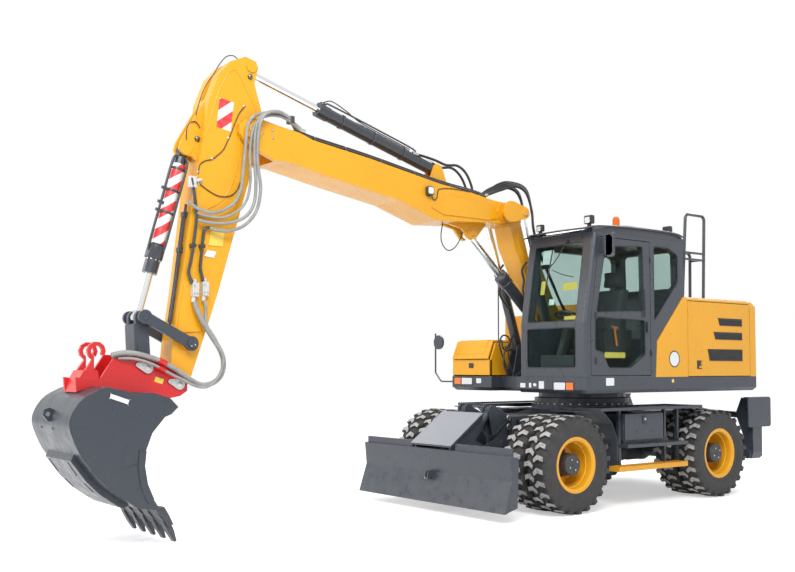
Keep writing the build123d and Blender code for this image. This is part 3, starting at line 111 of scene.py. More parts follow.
world = bpy.data.worlds.new("studio")
bpy.context.scene.world = world
world.use_nodes = True
sky = world.node_tree
sky.nodes.clear()
sky_out = sky.nodes.new("ShaderNodeOutputWorld")
sky_mix = sky.nodes.new("ShaderNodeMixShader")
sky_light = sky.nodes.new("ShaderNodeBackground")
sky_light.inputs["Color"].default_value = (0.93, 0.96, 1.0, 1)
sky_light.inputs["Strength"].default_value = 0.62
sky_seen = sky.nodes.new("ShaderNodeBackground")
sky_seen.inputs["Color"].default_value = (1, 1, 1, 1)
sky_seen.inputs["Strength"].default_value = 1.0
sky.links.new(plain_sight(sky), sky_mix.inputs[0])
sky.links.new(sky_light.outputs[0], sky_mix.inputs[1])
sky.links.new(sky_seen.outputs[0], sky_mix.inputs[2])
sky.links.new(sky_mix.outputs[0], sky_out.inputs[0])

area_light("key", (9, 9, 11), (1.5, 0, 1.5), 6.0, 1500)
area_light("fill_front", (12, -4, 6), (2, 0, 1.5), 7.0, 500)
area_light("fill_back", (-9, -6, 9), (0, 0, 1.5), 7.0, 600)

camera_data = bpy.data.cameras.new("camera")
camera_data.lens = 45.06
camera_data.sensor_width = 36.0
camera_data.shift_y = 0.0428
camera_data.clip_end = 300
camera = bpy.data.objects.new("camera", camera_data)
bpy.context.collection.objects.link(camera)
camera.location = (9.342, 8.555, 1.548)
look = np.array([-0.602, -0.797, 0.049])
camera.rotation_euler = (
    math.atan2(look[2], math.hypot(look[0], look[1])) + math.pi / 2,
    0,
    math.atan2(look[1], look[0]) - math.pi / 2,
)
bpy.context.scene.camera = camera
bpy.context.scene.view_settings.view_transform = "Standard"


# ---- Chassis frame and axles: welded plate and castings, sprayed slate grey. The finish is
# two-pack paint over primer, dusty low down and a little rubbed along its edges.


def group(name, inputs, outputs):
    """An empty shader group with named float or colour sockets."""
    made = bpy.data.node_groups.new(name, "ShaderNodeTree")
    for socket, value in inputs.items():
        kind = "NodeSocketColor" if isinstance(value, tuple) else "NodeSocketFloat"
        item = made.interface.new_socket(socket, in_out="INPUT", socket_type=kind)
        item.default_value = (*value, 1) if isinstance(value, tuple) else value
    for socket, kind in outputs.items():
        made.interface.new_socket(socket, in_out="OUTPUT", socket_type=kind)
    return made, made.nodes.new("NodeGroupInput"), made.nodes.new("NodeGroupOutput")


def own_place(tree):
    """The piece's own coordinates."""
    return tree.nodes.new("ShaderNodeTexCoord").outputs["Object"]


def split_place(tree):
    """The piece's own coordinates taken apart into X, Y and Z."""
    node = tree.nodes.new("ShaderNodeSeparateXYZ")
    tree.links.new(own_place(tree), node.inputs[0])
    return node


def rounded(tree, radius):
    """The normal with corners rounded by a radius."""
    node = tree.nodes.new("ShaderNodeBevel")
    node.samples = 4
    node.inputs["Radius"].default_value = radius
    return node.outputs[0]


def surface(tree, shader, colour, rough):
    """Feeds a shader its colour and its roughness."""
    tree.links.new(colour, shader.inputs["Base Color"])
    tree.links.new(rough, shader.inputs["Roughness"])


def relief(tree, shader, height, strength, distance, edge=0.0):
    """Bumps a shader's normal by a height, over corners rounded by the edge radius."""
    bump = tree.nodes.new("ShaderNodeBump")
    bump.inputs["Strength"].default_value = strength
    bump.inputs["Distance"].default_value = distance
    if edge:
        tree.links.new(rounded(tree, edge), bump.inputs["Normal"])
    tree.links.new(height, bump.inputs["Height"])
    tree.links.new(bump.outputs[0], shader.inputs["Normal"])


def noise(tree, vector, scale, detail=3.0):
    """A noise texture read at a place, with so many octaves of detail."""
    node = tree.nodes.new("ShaderNodeTexNoise")
    node.inputs["Scale"].default_value = scale
    node.inputs["Detail"].default_value = detail
    tree.links.new(vector, node.inputs["Vector"])
    return node.outputs["Fac"]


def remap(tree, value, a, b, lo=0.0, hi=1.0):
    """Value from a..b stretched to lo..hi and held there."""
    node = tree.nodes.new("ShaderNodeMapRange")
    for socket, number in zip(("From Min", "From Max", "To Min", "To Max"), (a, b, lo, hi)):
        node.inputs[socket].default_value = number
    tree.links.new(value, node.inputs["Value"])
    return node.outputs["Result"]


def blend_colour(tree, factor, a, b):
    """A mix of two colours by a factor."""
    node = tree.nodes.new("ShaderNodeMix")
    node.data_type = "RGBA"
    tree.links.new(factor, node.inputs["Factor"])
    for socket, value in ((node.inputs[6], a), (node.inputs[7], b)):
        if isinstance(value, tuple):
            socket.default_value = (*value, 1)
        else:
            tree.links.new(value, socket)
    return node.outputs[2]


def paint_group():
    """Sprayed paint: tone wanders by a few percent, edges show worn metal, dust settles low down."""
    made, given, out = group(
        "sprayed_paint",
        {"Paint": (0.1, 0.1, 0.1), "Worn": (0.3, 0.3, 0.3), "Dust": (0.35, 0.32, 0.28), "Wear": 0.5,
         "Dust Height": 0.9, "Gloss Low": 0.25, "Gloss High": 0.45},
        {"Colour": "NodeSocketColor", "Roughness": "NodeSocketFloat", "Height": "NodeSocketFloat"},
    )
    place = own_place(made)
    cloud = noise(made, place, 1.7)
    fine = noise(made, place, 260.0, 2.0)
    patch = noise(made, place, 9.0, 3.0)
    toned = blend_colour(
        made, remap(made, cloud, 0.3, 0.7, 0.0, 0.07), given.outputs["Paint"], (0.02, 0.02, 0.02),
    )
    shape = made.nodes.new("ShaderNodeNewGeometry")
    dot = made.nodes.new("ShaderNodeVectorMath")
    dot.operation = "DOT_PRODUCT"
    made.links.new(rounded(made, 0.008), dot.inputs[0])
    made.links.new(shape.outputs["Normal"], dot.inputs[1])
    edge = remap(made, dot.outputs["Value"], 0.97, 0.75)
    rubbed = combine(made, "MULTIPLY", edge, remap(made, patch, 0.5, 0.62))
    rubbed = combine(made, "MULTIPLY", rubbed, given.outputs["Wear"])
    worn = blend_colour(made, rubbed, toned, given.outputs["Worn"])
    split = split_place(made)
    low = made.nodes.new("ShaderNodeMapRange")
    made.links.new(split.outputs["Z"], low.inputs["Value"])
    made.links.new(given.outputs["Dust Height"], low.inputs["From Min"])
    low.inputs["From Max"].default_value = 0.0
    low.inputs["To Max"].default_value = 0.12
    dusty = combine(made, "MULTIPLY", low.outputs[0], remap(made, patch, 0.35, 0.7))
    final = blend_colour(made, dusty, worn, given.outputs["Dust"])
    made.links.new(final, out.inputs["Colour"])
    shine = made.nodes.new("ShaderNodeMapRange")
    made.links.new(patch, shine.inputs["Value"])
    shine.inputs["From Min"].default_value = 0.3
    shine.inputs["From Max"].default_value = 0.7
    made.links.new(given.outputs["Gloss Low"], shine.inputs["To Min"])
    made.links.new(given.outputs["Gloss High"], shine.inputs["To Max"])
    rough = combine(made, "ADD", shine.outputs[0], combine(made, "MULTIPLY", dusty, 0.5))
    made.links.new(rough, out.inputs["Roughness"])
    made.links.new(fine, out.inputs["Height"])
    return made


SPRAYED = paint_group()


def painted(
    name, paint, worn=(0.30, 0.30, 0.31), wear=0.5, dust_height=0.9, gloss=(0.25, 0.45), coat=0.0, edge=0.006,
):
    """A sprayed finish whose corners are rounded by the edge radius."""
    mat, tree, shader = new_finish(name)
    tones = tree.nodes.new("ShaderNodeGroup")
    tones.node_tree = SPRAYED
    tones.inputs["Paint"].default_value = (*paint, 1)
    tones.inputs["Worn"].default_value = (*worn, 1)
    tones.inputs["Wear"].default_value = wear
    tones.inputs["Dust Height"].default_value = dust_height
    tones.inputs["Gloss Low"].default_value = gloss[0]
    tones.inputs["Gloss High"].default_value = gloss[1]
    relief(tree, shader, tones.outputs["Height"], 0.06, 0.002, edge)
    surface(tree, shader, tones.outputs["Colour"], tones.outputs["Roughness"])
    shader.inputs["Coat Weight"].default_value = coat
    shader.inputs["Coat Roughness"].default_value = 0.08
    return mat


def dress(material, *nodes):
    """Gives CAD nodes one finish."""
    for node in nodes:
        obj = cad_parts[node]
        if not obj.material_slots:
            obj.data.materials.append(material)
        for place in obj.material_slots:
            place.material = material


SLATE = (0.046, 0.055, 0.070)
slate = painted("slate_paint", SLATE, wear=0.5)
deep_slate = painted("underside_paint", (0.045, 0.052, 0.062), wear=0.3, gloss=(0.4, 0.6))
dress(slate, "chassis_frame")
dress(deep_slate, "front_axle", "rear_axle")

# ---- Knuckles and steering rod: cast steel knuckles sprayed in the same grey over their casting skin,
# and a steering rod of ground and chromed steel between them.


def metal(name, colour, rough, grain=0.04, metallic=1.0):
    """Ground or plated metal whose roughness wanders with a fine grain."""
    mat, tree, shader = new_finish(name)
    shader.inputs["Metallic"].default_value = metallic
    fine = noise(tree, own_place(tree), 90.0)
    tone = blend_colour(tree, remap(tree, fine, 0.3, 0.7, 0.0, 0.12), colour, (0.25, 0.25, 0.25))
    surface(tree, shader, tone, remap(tree, fine, 0.3, 0.7, rough - grain, rough + grain))
    return mat


chrome = metal("chromed_rod", (0.78, 0.79, 0.80), 0.16)
dress(deep_slate, "knuckle_left", "knuckle_right")
dress(chrome, "steering_rod")


# ---- Slewing ring: a forged ring bearing bolted to the tower below and to the deck above. Its bolts
# are hexagon heads, zinc plated, in two close rows round the ring.
MM = 0.001


def grid_faces(rows, cols, close_rows=False):
    """Quads between neighbouring points of a grid stored row by row, each row closed on itself."""
    r = np.arange(rows if close_rows else rows - 1)[:, None]
    c = np.arange(cols)[None, :]
    r2, c2 = (r + 1) % rows, (c + 1) % cols
    quads = np.stack([r * cols + c, r * cols + c2, r2 * cols + c2, r2 * cols + c], -1)
    return quads.reshape(-1, 4).tolist()


def axes_of(direction):
    """A direction made one long, and two directions square to it and to each other."""
    d = np.array(direction, float)
    d = d / np.linalg.norm(d)
    u = np.cross(d, np.eye(3)[np.argmin(abs(d))])
    u = u / np.linalg.norm(u)
    return d, u, np.cross(d, u)


def lathe(profile, centre, axis=(0, 1, 0), sides=48, ring=False):
    """A profile of (radius, distance) carried round an axis: centre + distance x axis + radius x
    (cos t x first square direction + sin t x second), t from 0 to a full turn."""
    d, u, w = axes_of(axis)
    r, s = np.array(profile, float).T
    t = np.linspace(0, 2 * np.pi, sides, endpoint=False)
    turn = np.cos(t)[:, None] * u + np.sin(t)[:, None] * w
    points = np.array(centre, float) + s[:, None, None] * d + r[:, None, None] * turn[None]
    rows = len(profile)
    faces = grid_faces(rows, sides, close_rows=ring)
    if not ring:
        faces += [list(range(sides)), list(range((rows - 1) * sides, rows * sides))]
    return points.reshape(-1, 3), faces


def bar(a, b, radius, sides=14):
    """A round bar from one point to another."""
    a, b = np.array(a, float), np.array(b, float)
    return lathe([(radius, 0), (radius, np.linalg.norm(b - a))], a, b - a, sides)


def smooth_line(route, steps=8):
    """A curve through the route's points: between two points the sum of four neighbours, weighted by
    cubics of t so that the slope at a point is half the step between its neighbours."""
    p = np.array(route, float)
    q = np.vstack([2 * p[0] - p[1], p, 2 * p[-1] - p[-2]])
    t = np.linspace(0, 1, steps, endpoint=False)[:, None, None]
    a, b, c, d = q[:-3], q[1:-2], q[2:-1], q[3:]
    curve = 0.5 * (2 * b + (c - a) * t + (2 * a - 5 * b + 4 * c - d) * t**2 + (3 * b - a - 3 * c + d) * t**3)
    return np.vstack([curve.transpose(1, 0, 2).reshape(-1, 3), p[-1:]])


def pipe(route, radius, sides=10, steps=8):
    """A round pipe along a smooth line: each point of the line gives a ring square to the line there."""
    line = smooth_line(route, steps) if steps > 1 else np.array(route, float)
    run = np.gradient(line, axis=0)
    run = run / np.linalg.norm(run, axis=1)[:, None]
    tries = np.array([(1, 0, 0), (0, 1, 0), (0, 0, 1), (0.5, 0.7, -0.5), (0.7, -0.5, 0.5), (0.6, 0.1, 0.8)])
    across = tries[np.argmin(abs(run @ tries.T).max(axis=0))]
    u = np.cross(run, across)
    u = u / np.linalg.norm(u, axis=1)[:, None]
    w = np.cross(run, u)
    t = np.linspace(0, 2 * np.pi, sides, endpoint=False)[None, :, None]
    points = line[:, None] + radius * (np.cos(t) * u[:, None] + np.sin(t) * w[:, None])
    faces = grid_faces(len(line), sides)
    faces += [list(range(sides)), list(range((len(line) - 1) * sides, len(line) * sides))]
    return points.reshape(-1, 3), faces


def slab(outline, origin, u, v, near, far):
    """A plate: each outline point (a, b) at origin + a x u + b x v, once at each end of its thickness."""
    u, v = np.array(u, float), np.array(v, float)
    n = np.cross(u, v)
    n = n / np.linalg.norm(n)
    flat = np.array(origin, float) + np.array(outline, float) @ np.stack([u, v])
    points = np.vstack([flat + near * n, flat + far * n])
    m = len(outline)
    return points, grid_faces(2, m) + [list(range(m)), list(range(m, 2 * m))]


def plate(outline, y0, y1):
    """A plate cut to an outline of (x, z) in the side view, between two distances across the machine."""
    return slab(outline, (0, 0, 0), (1, 0, 0), (0, 0, 1), -y0, -y1)


def block(x, y, z):
    """A block between two corners, given as a pair for each direction."""
    return plate([(x[0], z[0]), (x[1], z[0]), (x[1], z[1]), (x[0], z[1])], y[0], y[1])


def hexes(places, direction, across=30.0, height=16.0):
    """Hexagon bolt heads: six corners round each place, at its foot and at its top along a direction,
    with a slightly narrower top ring for the chamfer."""
    d, u, w = axes_of(direction)
    t = np.arange(6) * np.pi / 3
    ring = across / np.sqrt(3) * (np.cos(t)[:, None] * u + np.sin(t)[:, None] * w)
    levels = [(1.0, 0.0), (1.0, 0.8 * height), (0.82, height)]
    one = np.stack([grow * ring + lift * d for grow, lift in levels])
    places = np.array(places, float)
    points = places[:, None, None] + one[None]
    count = len(places)
    quads = np.array(grid_faces(3, 6))[None] + 18 * np.arange(count)[:, None, None]
    tops = np.arange(12, 18)[None] + 18 * np.arange(count)[:, None]
    feet = np.arange(5, -1, -1)[None] + 18 * np.arange(count)[:, None]
    return points.reshape(-1, 3), quads.reshape(-1, 4).tolist() + tops.tolist() + feet.tolist()


def around(count, radius, centre, axis, phase=0.0):
    """Points evenly round a circle about an axis."""
    d, u, w = axes_of(axis)
    t = (np.arange(count) + phase) * 2 * np.pi / count
    return np.array(centre, float) + radius * (np.cos(t)[:, None] * u + np.sin(t)[:, None] * w)


def piece(name, parts, material, body, bevel=0.0, sharp=32.0, segments=2, marks=None):
    """One object from several closed shapes given in millimetres, with its faces turned outwards, smooth
    below the sharp angle, with softened edges, riding on a body, or left free when none is given."""
    points = np.concatenate([p for p, f in parts]) * MM
    faces, start = [], 0
    for p, f in parts:
        faces += [[i + start for i in face] for face in f]
        start += len(p)
    mesh = bpy.data.meshes.new(name)
    mesh.from_pydata(points.tolist(), [], faces)
    work = bmesh.new()
    work.from_mesh(mesh)
    bmesh.ops.recalc_face_normals(work, faces=work.faces)
    work.to_mesh(mesh)
    work.free()
    mesh.polygons.foreach_set("use_smooth", np.ones(len(mesh.polygons), bool))
    mesh.set_sharp_from_angle(angle=math.radians(sharp))
    if marks is not None:
        layer = mesh.attributes.new("mark", "FLOAT", "POINT")
        layer.data.foreach_set("value", np.array(marks, np.float32))
    mesh.materials.append(material)
    obj = bpy.data.objects.new(name, mesh)
    bpy.context.collection.objects.link(obj)
    if bevel:
        soft = obj.modifiers.new("soft_edges", "BEVEL")
        soft.width = bevel * MM
        soft.segments = segments
        soft.limit_method = "ANGLE"
        soft.angle_limit = math.radians(sharp)
    if body:
        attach(obj, body)
    return obj


RING_BOLTS = 36
zinc = metal("zinc_bolts", (0.55, 0.55, 0.53), 0.35)
tower_bolts = hexes(around(RING_BOLTS, 588, (0, 0, 1120), (0, 0, 1)), (0, 0, 1), 22, 13)
deck_bolts = hexes(around(RING_BOLTS, 560, (0, 0, 1280), (0, 0, 1), 0.5), (0, 0, -1), 26, 15)
piece("slew_bolts_lower", [tower_bolts], zinc, "chassis")
piece("slew_bolts_upper", [deck_bolts], zinc, "upper_structure")

# ---- Tyres: natural rubber with carbon black, moulded with deep lugs that meet in a V from both
# shoulders. The tops of the lugs are scuffed pale, the walls are dusty black.


def rubber_finish(name, colour, dust, grain=400.0, gloss=0.75, worn=None):
    """Matt rubber with fine grain and soft dust; the marked tops of a tread may be scuffed pale."""
    mat, tree, shader = new_finish(name)
    place = own_place(tree)
    patch = noise(tree, place, 9.0, 6.0)
    fine = noise(tree, place, grain, 2.0)
    tone = blend_colour(tree, remap(tree, patch, 0.4, 0.75, 0.0, 0.6), colour, dust)
    if worn:
        mark = tree.nodes.new("ShaderNodeAttribute")
        mark.attribute_name = "mark"
        scuff = noise(tree, place, 38.0, 6.0)
        top = remap(tree, mark.outputs["Fac"], 0.93, 0.99)
        scuffed = combine(tree, "MULTIPLY", top, remap(tree, scuff, 0.25, 0.55, 0.35, 0.95))
        tone = blend_colour(tree, scuffed, tone, worn)
    surface(tree, shader, tone, remap(tree, patch, 0.3, 0.7, gloss - 0.15, gloss + 0.1))
    relief(tree, shader, fine, 0.15, 0.002, 0.005)
    return mat


WHEELS = (
    ("front_left", 1431, 1), ("front_right", 1431, -1), ("rear_left", -1089, 1), ("rear_right", -1089, -1),
)
AXLE_Z = 527.0
TREAD_R = 527.0
TWIN_Y, TWIN_HALF_GAP = 940.0, 165.0
LUGS = 24
TYRE_WALL = [
    (262, 104), (268, 114), (286, 119), (300, 122), (304, 126), (330, 131), (338, 128), (344, 131),
    (390, 137), (430, 137.5), (458, 135), (480, 127), (493, 112), (498, 90), (499, 45),
]
LUG_FOOT = [(46, -6), (-4, 46), (18, 138.5), (80, 138.5), (60, 68), (96, 12)]
LUG_TOP = [(52, -2), (2, 50), (24, 131), (73, 131), (55, 63), (90, 9)]
LUG_FOOT_R = [494, 494, 455, 455, 494, 494]
LUG_TOP_R = [527, 527, 522, 522, 527, 527]


def lugs(axle_x, middle):
    """The lugs of one tyre. A corner at distance s along the tread, y across it and r from the axle
    stands at angle n x pitch + s / tread radius; the other shoulder has y turned over, half a pitch on."""
    s = np.array([LUG_FOOT, LUG_TOP], float)[..., 0]
    y = np.array([LUG_FOOT, LUG_TOP], float)[..., 1]
    r = np.array([LUG_FOOT_R, LUG_TOP_R], float)
    n = np.arange(LUGS)[:, None, None]
    points = []
    for way, shift in ((1, 0.0), (-1, 0.5)):
        turn = (n + shift) * 2 * np.pi / LUGS + s / TREAD_R
        across = np.broadcast_to(middle + way * y, turn.shape)
        points.append(np.stack([axle_x + r * np.sin(turn), across, AXLE_Z + r * np.cos(turn)], -1))
    points = np.concatenate(points)
    start = 12 * np.arange(len(points))
    quads = np.array(grid_faces(2, 6))[None] + start[:, None, None]
    feet = np.arange(6)[None] + start[:, None]
    return points.reshape(-1, 3), quads.reshape(-1, 4).tolist() + feet.tolist() + (feet + 6).tolist()


tyre_rubber = rubber_finish(
    "tyre_rubber", (0.034, 0.032, 0.033), (0.085, 0.080, 0.078), worn=(0.50, 0.49, 0.475),
)
for place, axle_x, side in WHEELS:
    shapes, marks = [], []
    for middle in (side * (TWIN_Y - TWIN_HALF_GAP), side * (TWIN_Y + TWIN_HALF_GAP)):
        wall = TYRE_WALL + [(r, -y) for r, y in TYRE_WALL[::-1]]
        carcass = lathe(wall, (axle_x, middle, AXLE_Z), sides=96, ring=True)
        tread = lugs(axle_x, middle)
        shapes += [carcass, tread]
        marks += [np.zeros(len(carcass[0])), np.tile(np.repeat([0.0, 1.0], 6), 2 * LUGS)]
    tyre = piece(
        "tyre_pair_" + place, shapes, tyre_rubber, "wheels_" + place, sharp=28, marks=np.concatenate(marks),
    )
    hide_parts("tyres_" + place)
dress(tyre_rubber, *["tyres_" + place for place, axle_x, side in WHEELS])

# ---- Rims: a pair of rolled steel barrels on one welded disc, in the machine's yellow. The hub
# reduction stands out of the dish, cast and painted dark, with its cover screwed on.
YELLOW, WORN_YELLOW = (0.84, 0.39, 0.010), (0.35, 0.17, 0.02)
yellow = painted(
    "machine_yellow", YELLOW, worn=WORN_YELLOW, wear=0.2, dust_height=0.5, gloss=(0.26, 0.4), coat=0.1,
)
dress(yellow, *["rims_" + place for place, axle_x, side in WHEELS])
hub_paint = painted("hub_paint", (0.040, 0.042, 0.046), wear=0.2, gloss=(0.4, 0.6))
RIM = [
    (300, 288), (297, 291), (285, 290), (268, 286), (256, 278), (249, 262), (246, 205), (238, 200), (236, 60),
    (222, 26), (190, 20), (122, 20), (122, -20), (190, -20), (222, -26), (236, -60), (238, -200), (246, -205),
    (249, -262), (256, -278), (268, -286), (285, -290), (297, -291), (300, -288), (297, -283), (270, -281),
    (261.5, -274), (261.5, -60), (280, -20), (280, 20), (261.5, 60), (261.5, 274), (270, 281), (297, 283),
]
HUB = [
    (40, -190), (104, -190), (118, -180), (118, -24), (152, -24), (152, 36), (134, 44), (126, 60), (123, 150),
    (117, 154), (117, 228), (110, 240), (98, 244), (96, 248), (20, 248),
]
for place, axle_x, side in WHEELS:
    centre = (axle_x, side * TWIN_Y, AXLE_Z)
    ribs = []
    for t in np.arange(5) * 2 * np.pi / 5 + 0.35:
        out = np.array([math.cos(t), 0, math.sin(t)])
        ribs.append(slab([(150, 22), (234, 22), (234, 120), (200, 40)], centre, out, (0, side, 0), -7, 7))
    rim = piece(
        "rim_pair_" + place, [lathe(RIM, centre, (0, side, 0), 96, ring=True)] + ribs, yellow,
        "wheels_" + place, bevel=1.5,
    )
    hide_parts("rims_" + place)
    hub = lathe(HUB, centre, (0, side, 0), 64)
    face = hexes(around(4, 62, (axle_x, side * 1188, AXLE_Z), (0, side, 0), 0.3), (0, side, 0), 17, 8)
    plug = lathe([(14, 0), (14, 6), (9, 9)], (axle_x, side * 1187.5, AXLE_Z), (0, side, 0), 20)
    piece("hub_" + place, [hub, plug], hub_paint, "wheels_" + place, bevel=2)
    nuts = hexes(around(10, 170, (axle_x, side * 960, AXLE_Z), (0, side, 0)), (0, side, 0), 30, 22)
    piece("wheel_nuts_" + place, [nuts, face], zinc, "wheels_" + place)
    valve = pipe([
        (axle_x + 205, side * 965, AXLE_Z), (axle_x + 212, side * 1020, AXLE_Z),
        (axle_x + 232, side * 1090, AXLE_Z),
    ], 4)
    piece("tyre_valve_" + place, [valve], zinc, "wheels_" + place)

# ---- Steps, wings and tool boxes: folded sheet, slate grey; the low step is yellow, and the boxes have
# a black twist latch and two rubber plugs in the lid.


TRAY_TOP, TRAY_INNER = 0.463, 1.035


def step_paint():
    """The grey paint of the steps, yellow on the low outer tray."""
    mat = painted("step_paint", SLATE, wear=0.5)
    tree = mat.node_tree
    tones = next(node for node in tree.nodes if node.type == "GROUP")
    split = split_place(tree)
    low = combine(tree, "LESS_THAN", split.outputs["Z"], TRAY_TOP)
    out = combine(tree, "GREATER_THAN", combine(tree, "ABSOLUTE", split.outputs["Y"], 0.0), TRAY_INNER)
    tray = combine(tree, "MULTIPLY", low, out)
    tree.links.new(blend_colour(tree, tray, SLATE, YELLOW), tones.inputs["Paint"])
    return mat


dress(step_paint(), "side_steps")
dress(slate, "tool_boxes", "tool_box_lid_left", "tool_box_lid_right")
SIDES = ((1, "left"), (-1, "right"))
BLACK, BLACK_DUST = (0.022, 0.023, 0.025), (0.05, 0.05, 0.05)
GRIP_PITCH = 36
black_plastic = rubber_finish("black_plastic", BLACK, BLACK_DUST, 300.0, 0.5)
for side, name in SIDES:
    plugs = [lathe([(13, 0), (13, 2.5), (9, 4)], (x, side * 1129, 835), (0, side, 0), 20) for x in (60, 320)]
    latch = block((168, 212), sorted((side * 1139, side * 1141.5)), (925, 1010))
    knob = lathe([(15, 0), (15, 4), (10, 6)], (190, side * 1141, 975), (0, side, 0), 20)
    piece("tool_box_plugs_" + name, plugs + [latch], black_plastic, "tool_box_lid_" + name, bevel=0.8)
    piece("tool_box_key_" + name, [knob], zinc, "tool_box_lid_" + name)
    teeth = np.arange(-500, 690, 40)
    grips = [hexes([(x, side * y, 461) for x in teeth for y in (1046, 1186)], (0, 0, 1), 12, 4)]
    piece("step_grips_" + name, grips, yellow, "chassis")
    rows = ((-500, 560, 700), (-780, 990, 1115))
    treads = [
        hexes([(x, side * 1190, z) for x in np.arange(x0, x1, GRIP_PITCH)], (0, 0, 1), 12, 5)
        for x0, x1, z in rows
    ]
    piece("tread_grips_" + name, treads, slate, "chassis")

# ---- Blade and outriggers: heavy plate, slate grey. The blade's cover plate is painted pale as a painted
# reflection of the sky, and its nose carries four zinc screws. Turned caps close the pivots, and woven
# hoses reach over to the blade.
dress(slate, "blade", "outrigger_left", "outrigger_right")
dress(deep_slate, "blade_barrels", "outrigger_barrel_left", "outrigger_barrel_right")
dress(chrome, "blade_rods", "outrigger_rod_left", "outrigger_rod_right")
# The pale blue-grey of the blade's cover plate is a painted reflection of the sky, not the plate's own paint.
sky_reflection_slate = painted("painted_sky_reflection", (0.33, 0.34, 0.38), wear=0.2, gloss=(0.35, 0.5))
piece(
    "blade_cover", [plate([(2429, 718), (1962, 1060), (1965, 1064), (2432, 722)], -346, 346)], sky_reflection_slate,
    "blade", bevel=1,
)
nose_screws = hexes([(2434, y, z) for y in (-78, -48) for z in (352, 392)], (1, 0, 0.12), 22, 10)
piece("blade_screws", [nose_screws], zinc, "blade")
pivot_caps = [
    lathe([(34, 0), (34, 8), (28, 12)], (x, side * 331, z), (0, side, 0), 28)
    for side in (-1, 1) for x, z in ((1560, 1000), (1560, 900))
]
piece("front_plate_screws", pivot_caps, zinc, "chassis", bevel=1)


def hose_finish(name, colour, pitch=420.0, gloss=0.5):
    """Rubber hose with a fine woven cover, its ridges slanted round the hose."""
    mat, tree, shader = new_finish(name)
    shader.inputs["Roughness"].default_value = gloss
    place = own_place(tree)
    patch = noise(tree, place, 12.0, 4.0)
    pale = tuple(min(1.0, 1.9 * c + 0.02) for c in colour)
    tone = blend_colour(tree, remap(tree, patch, 0.35, 0.7, 0.0, 0.35), colour, pale)
    tree.links.new(tone, shader.inputs["Base Color"])
    weave = tree.nodes.new("ShaderNodeTexWave")
    weave.bands_direction = "DIAGONAL"
    weave.inputs["Scale"].default_value = pitch / 6
    tree.links.new(place, weave.inputs["Vector"])
    relief(tree, shader, weave.outputs["Fac"], 0.25, 0.0015)
    return mat


black_hose = hose_finish("black_hose", (0.018, 0.018, 0.020))
grey_hose = hose_finish("grey_hose", (0.27, 0.27, 0.26), 500.0, 0.45)
blade_hoses = []
for side in (-1, 1):
    y = side * 205
    blade_hoses.append(pipe([
        (1690, y + 40, 985), (1650, y + 60, 940), (1600, y + 60, 965), (1550, y + 50, 1015),
        (1490, y + 40, 1000),
    ], 10))
    blade_hoses.append(pipe([
        (1900, y + 45, 880), (1830, y + 75, 800), (1720, y + 80, 820), (1610, y + 70, 900),
        (1490, y + 60, 960),
    ], 10))
piece("blade_hoses", blade_hoses, black_hose, "chassis")

# ---- Deck: a welded tray, slate grey. Clear and amber lamps sit in black boxes under the cab and at
# the right front corner; the small labels are blank.
dress(slate, "deck")


def lens_finish(name, colour, ribs=900.0):
    """A moulded lamp lens: glossy plastic with fine upright flutes, its colour darkened along them as painted
    shade.
    """
    mat, tree, shader = new_finish(name)
    shader.inputs["Coat Weight"].default_value = 0.6
    place = own_place(tree)
    flutes = tree.nodes.new("ShaderNodeTexWave")
    flutes.bands_direction = "Y"
    flutes.inputs["Scale"].default_value = ribs / 20
    tree.links.new(place, flutes.inputs["Vector"])
    height = flutes.outputs["Fac"]
    # The colour follows the flutes' height: painted shade banded across the flutes.
    tone = blend_colour(
        tree, remap(tree, height, 0.0, 1.0, 0.0, 0.25), colour, tuple(0.6 * c for c in colour),
    )
    surface(tree, shader, tone, remap(tree, height, 0.0, 1.0, 0.12, 0.3))
    relief(tree, shader, height, 0.3, 0.002)
    return mat


def label_finish(name, colour):
    """A printed label without print: smooth film, slightly soiled."""
    mat, tree, shader = new_finish(name)
    soil = noise(tree, own_place(tree), 22.0, 4.0)
    tone = blend_colour(
        tree, remap(tree, soil, 0.45, 0.75, 0.0, 0.25), colour, tuple(0.72 * c for c in colour),
    )
    surface(tree, shader, tone, remap(tree, soil, 0.3, 0.7, 0.3, 0.45))
    return mat


clear_lens = lens_finish("clear_lens", (0.78, 0.80, 0.82))
amber_lens = lens_finish("amber_lens", (0.90, 0.20, 0.01))
white_label = label_finish("white_label", (0.80, 0.81, 0.83))
yellow_label = label_finish("yellow_label", (0.90, 0.62, 0.10))


def cut_rectangle(across, up, k):
    """A rectangle's outline between two pairs of edges, its corners cut by k."""
    (a, b), (c, d) = across, up
    return [(a + k, c), (b - k, c), (b, c + k), (b, d - k), (b - k, d), (a + k, d), (a, d - k), (a, c + k)]


def front_plate(y, z, x0, x1, corner=6.0):
    """A plate facing forwards with cut corners, from x0 to x1, given its edges across and up."""
    return slab(cut_rectangle(y, z, corner), (0, 0, 0), (0, 1, 0), (0, 0, 1), x0, x1)


def side_label(x, z, y, thick=0.8, corner=6.0):
    """A thin label on a face across the machine, given its edges along and up."""
    return plate(cut_rectangle(x, z, corner), y, y + thick)


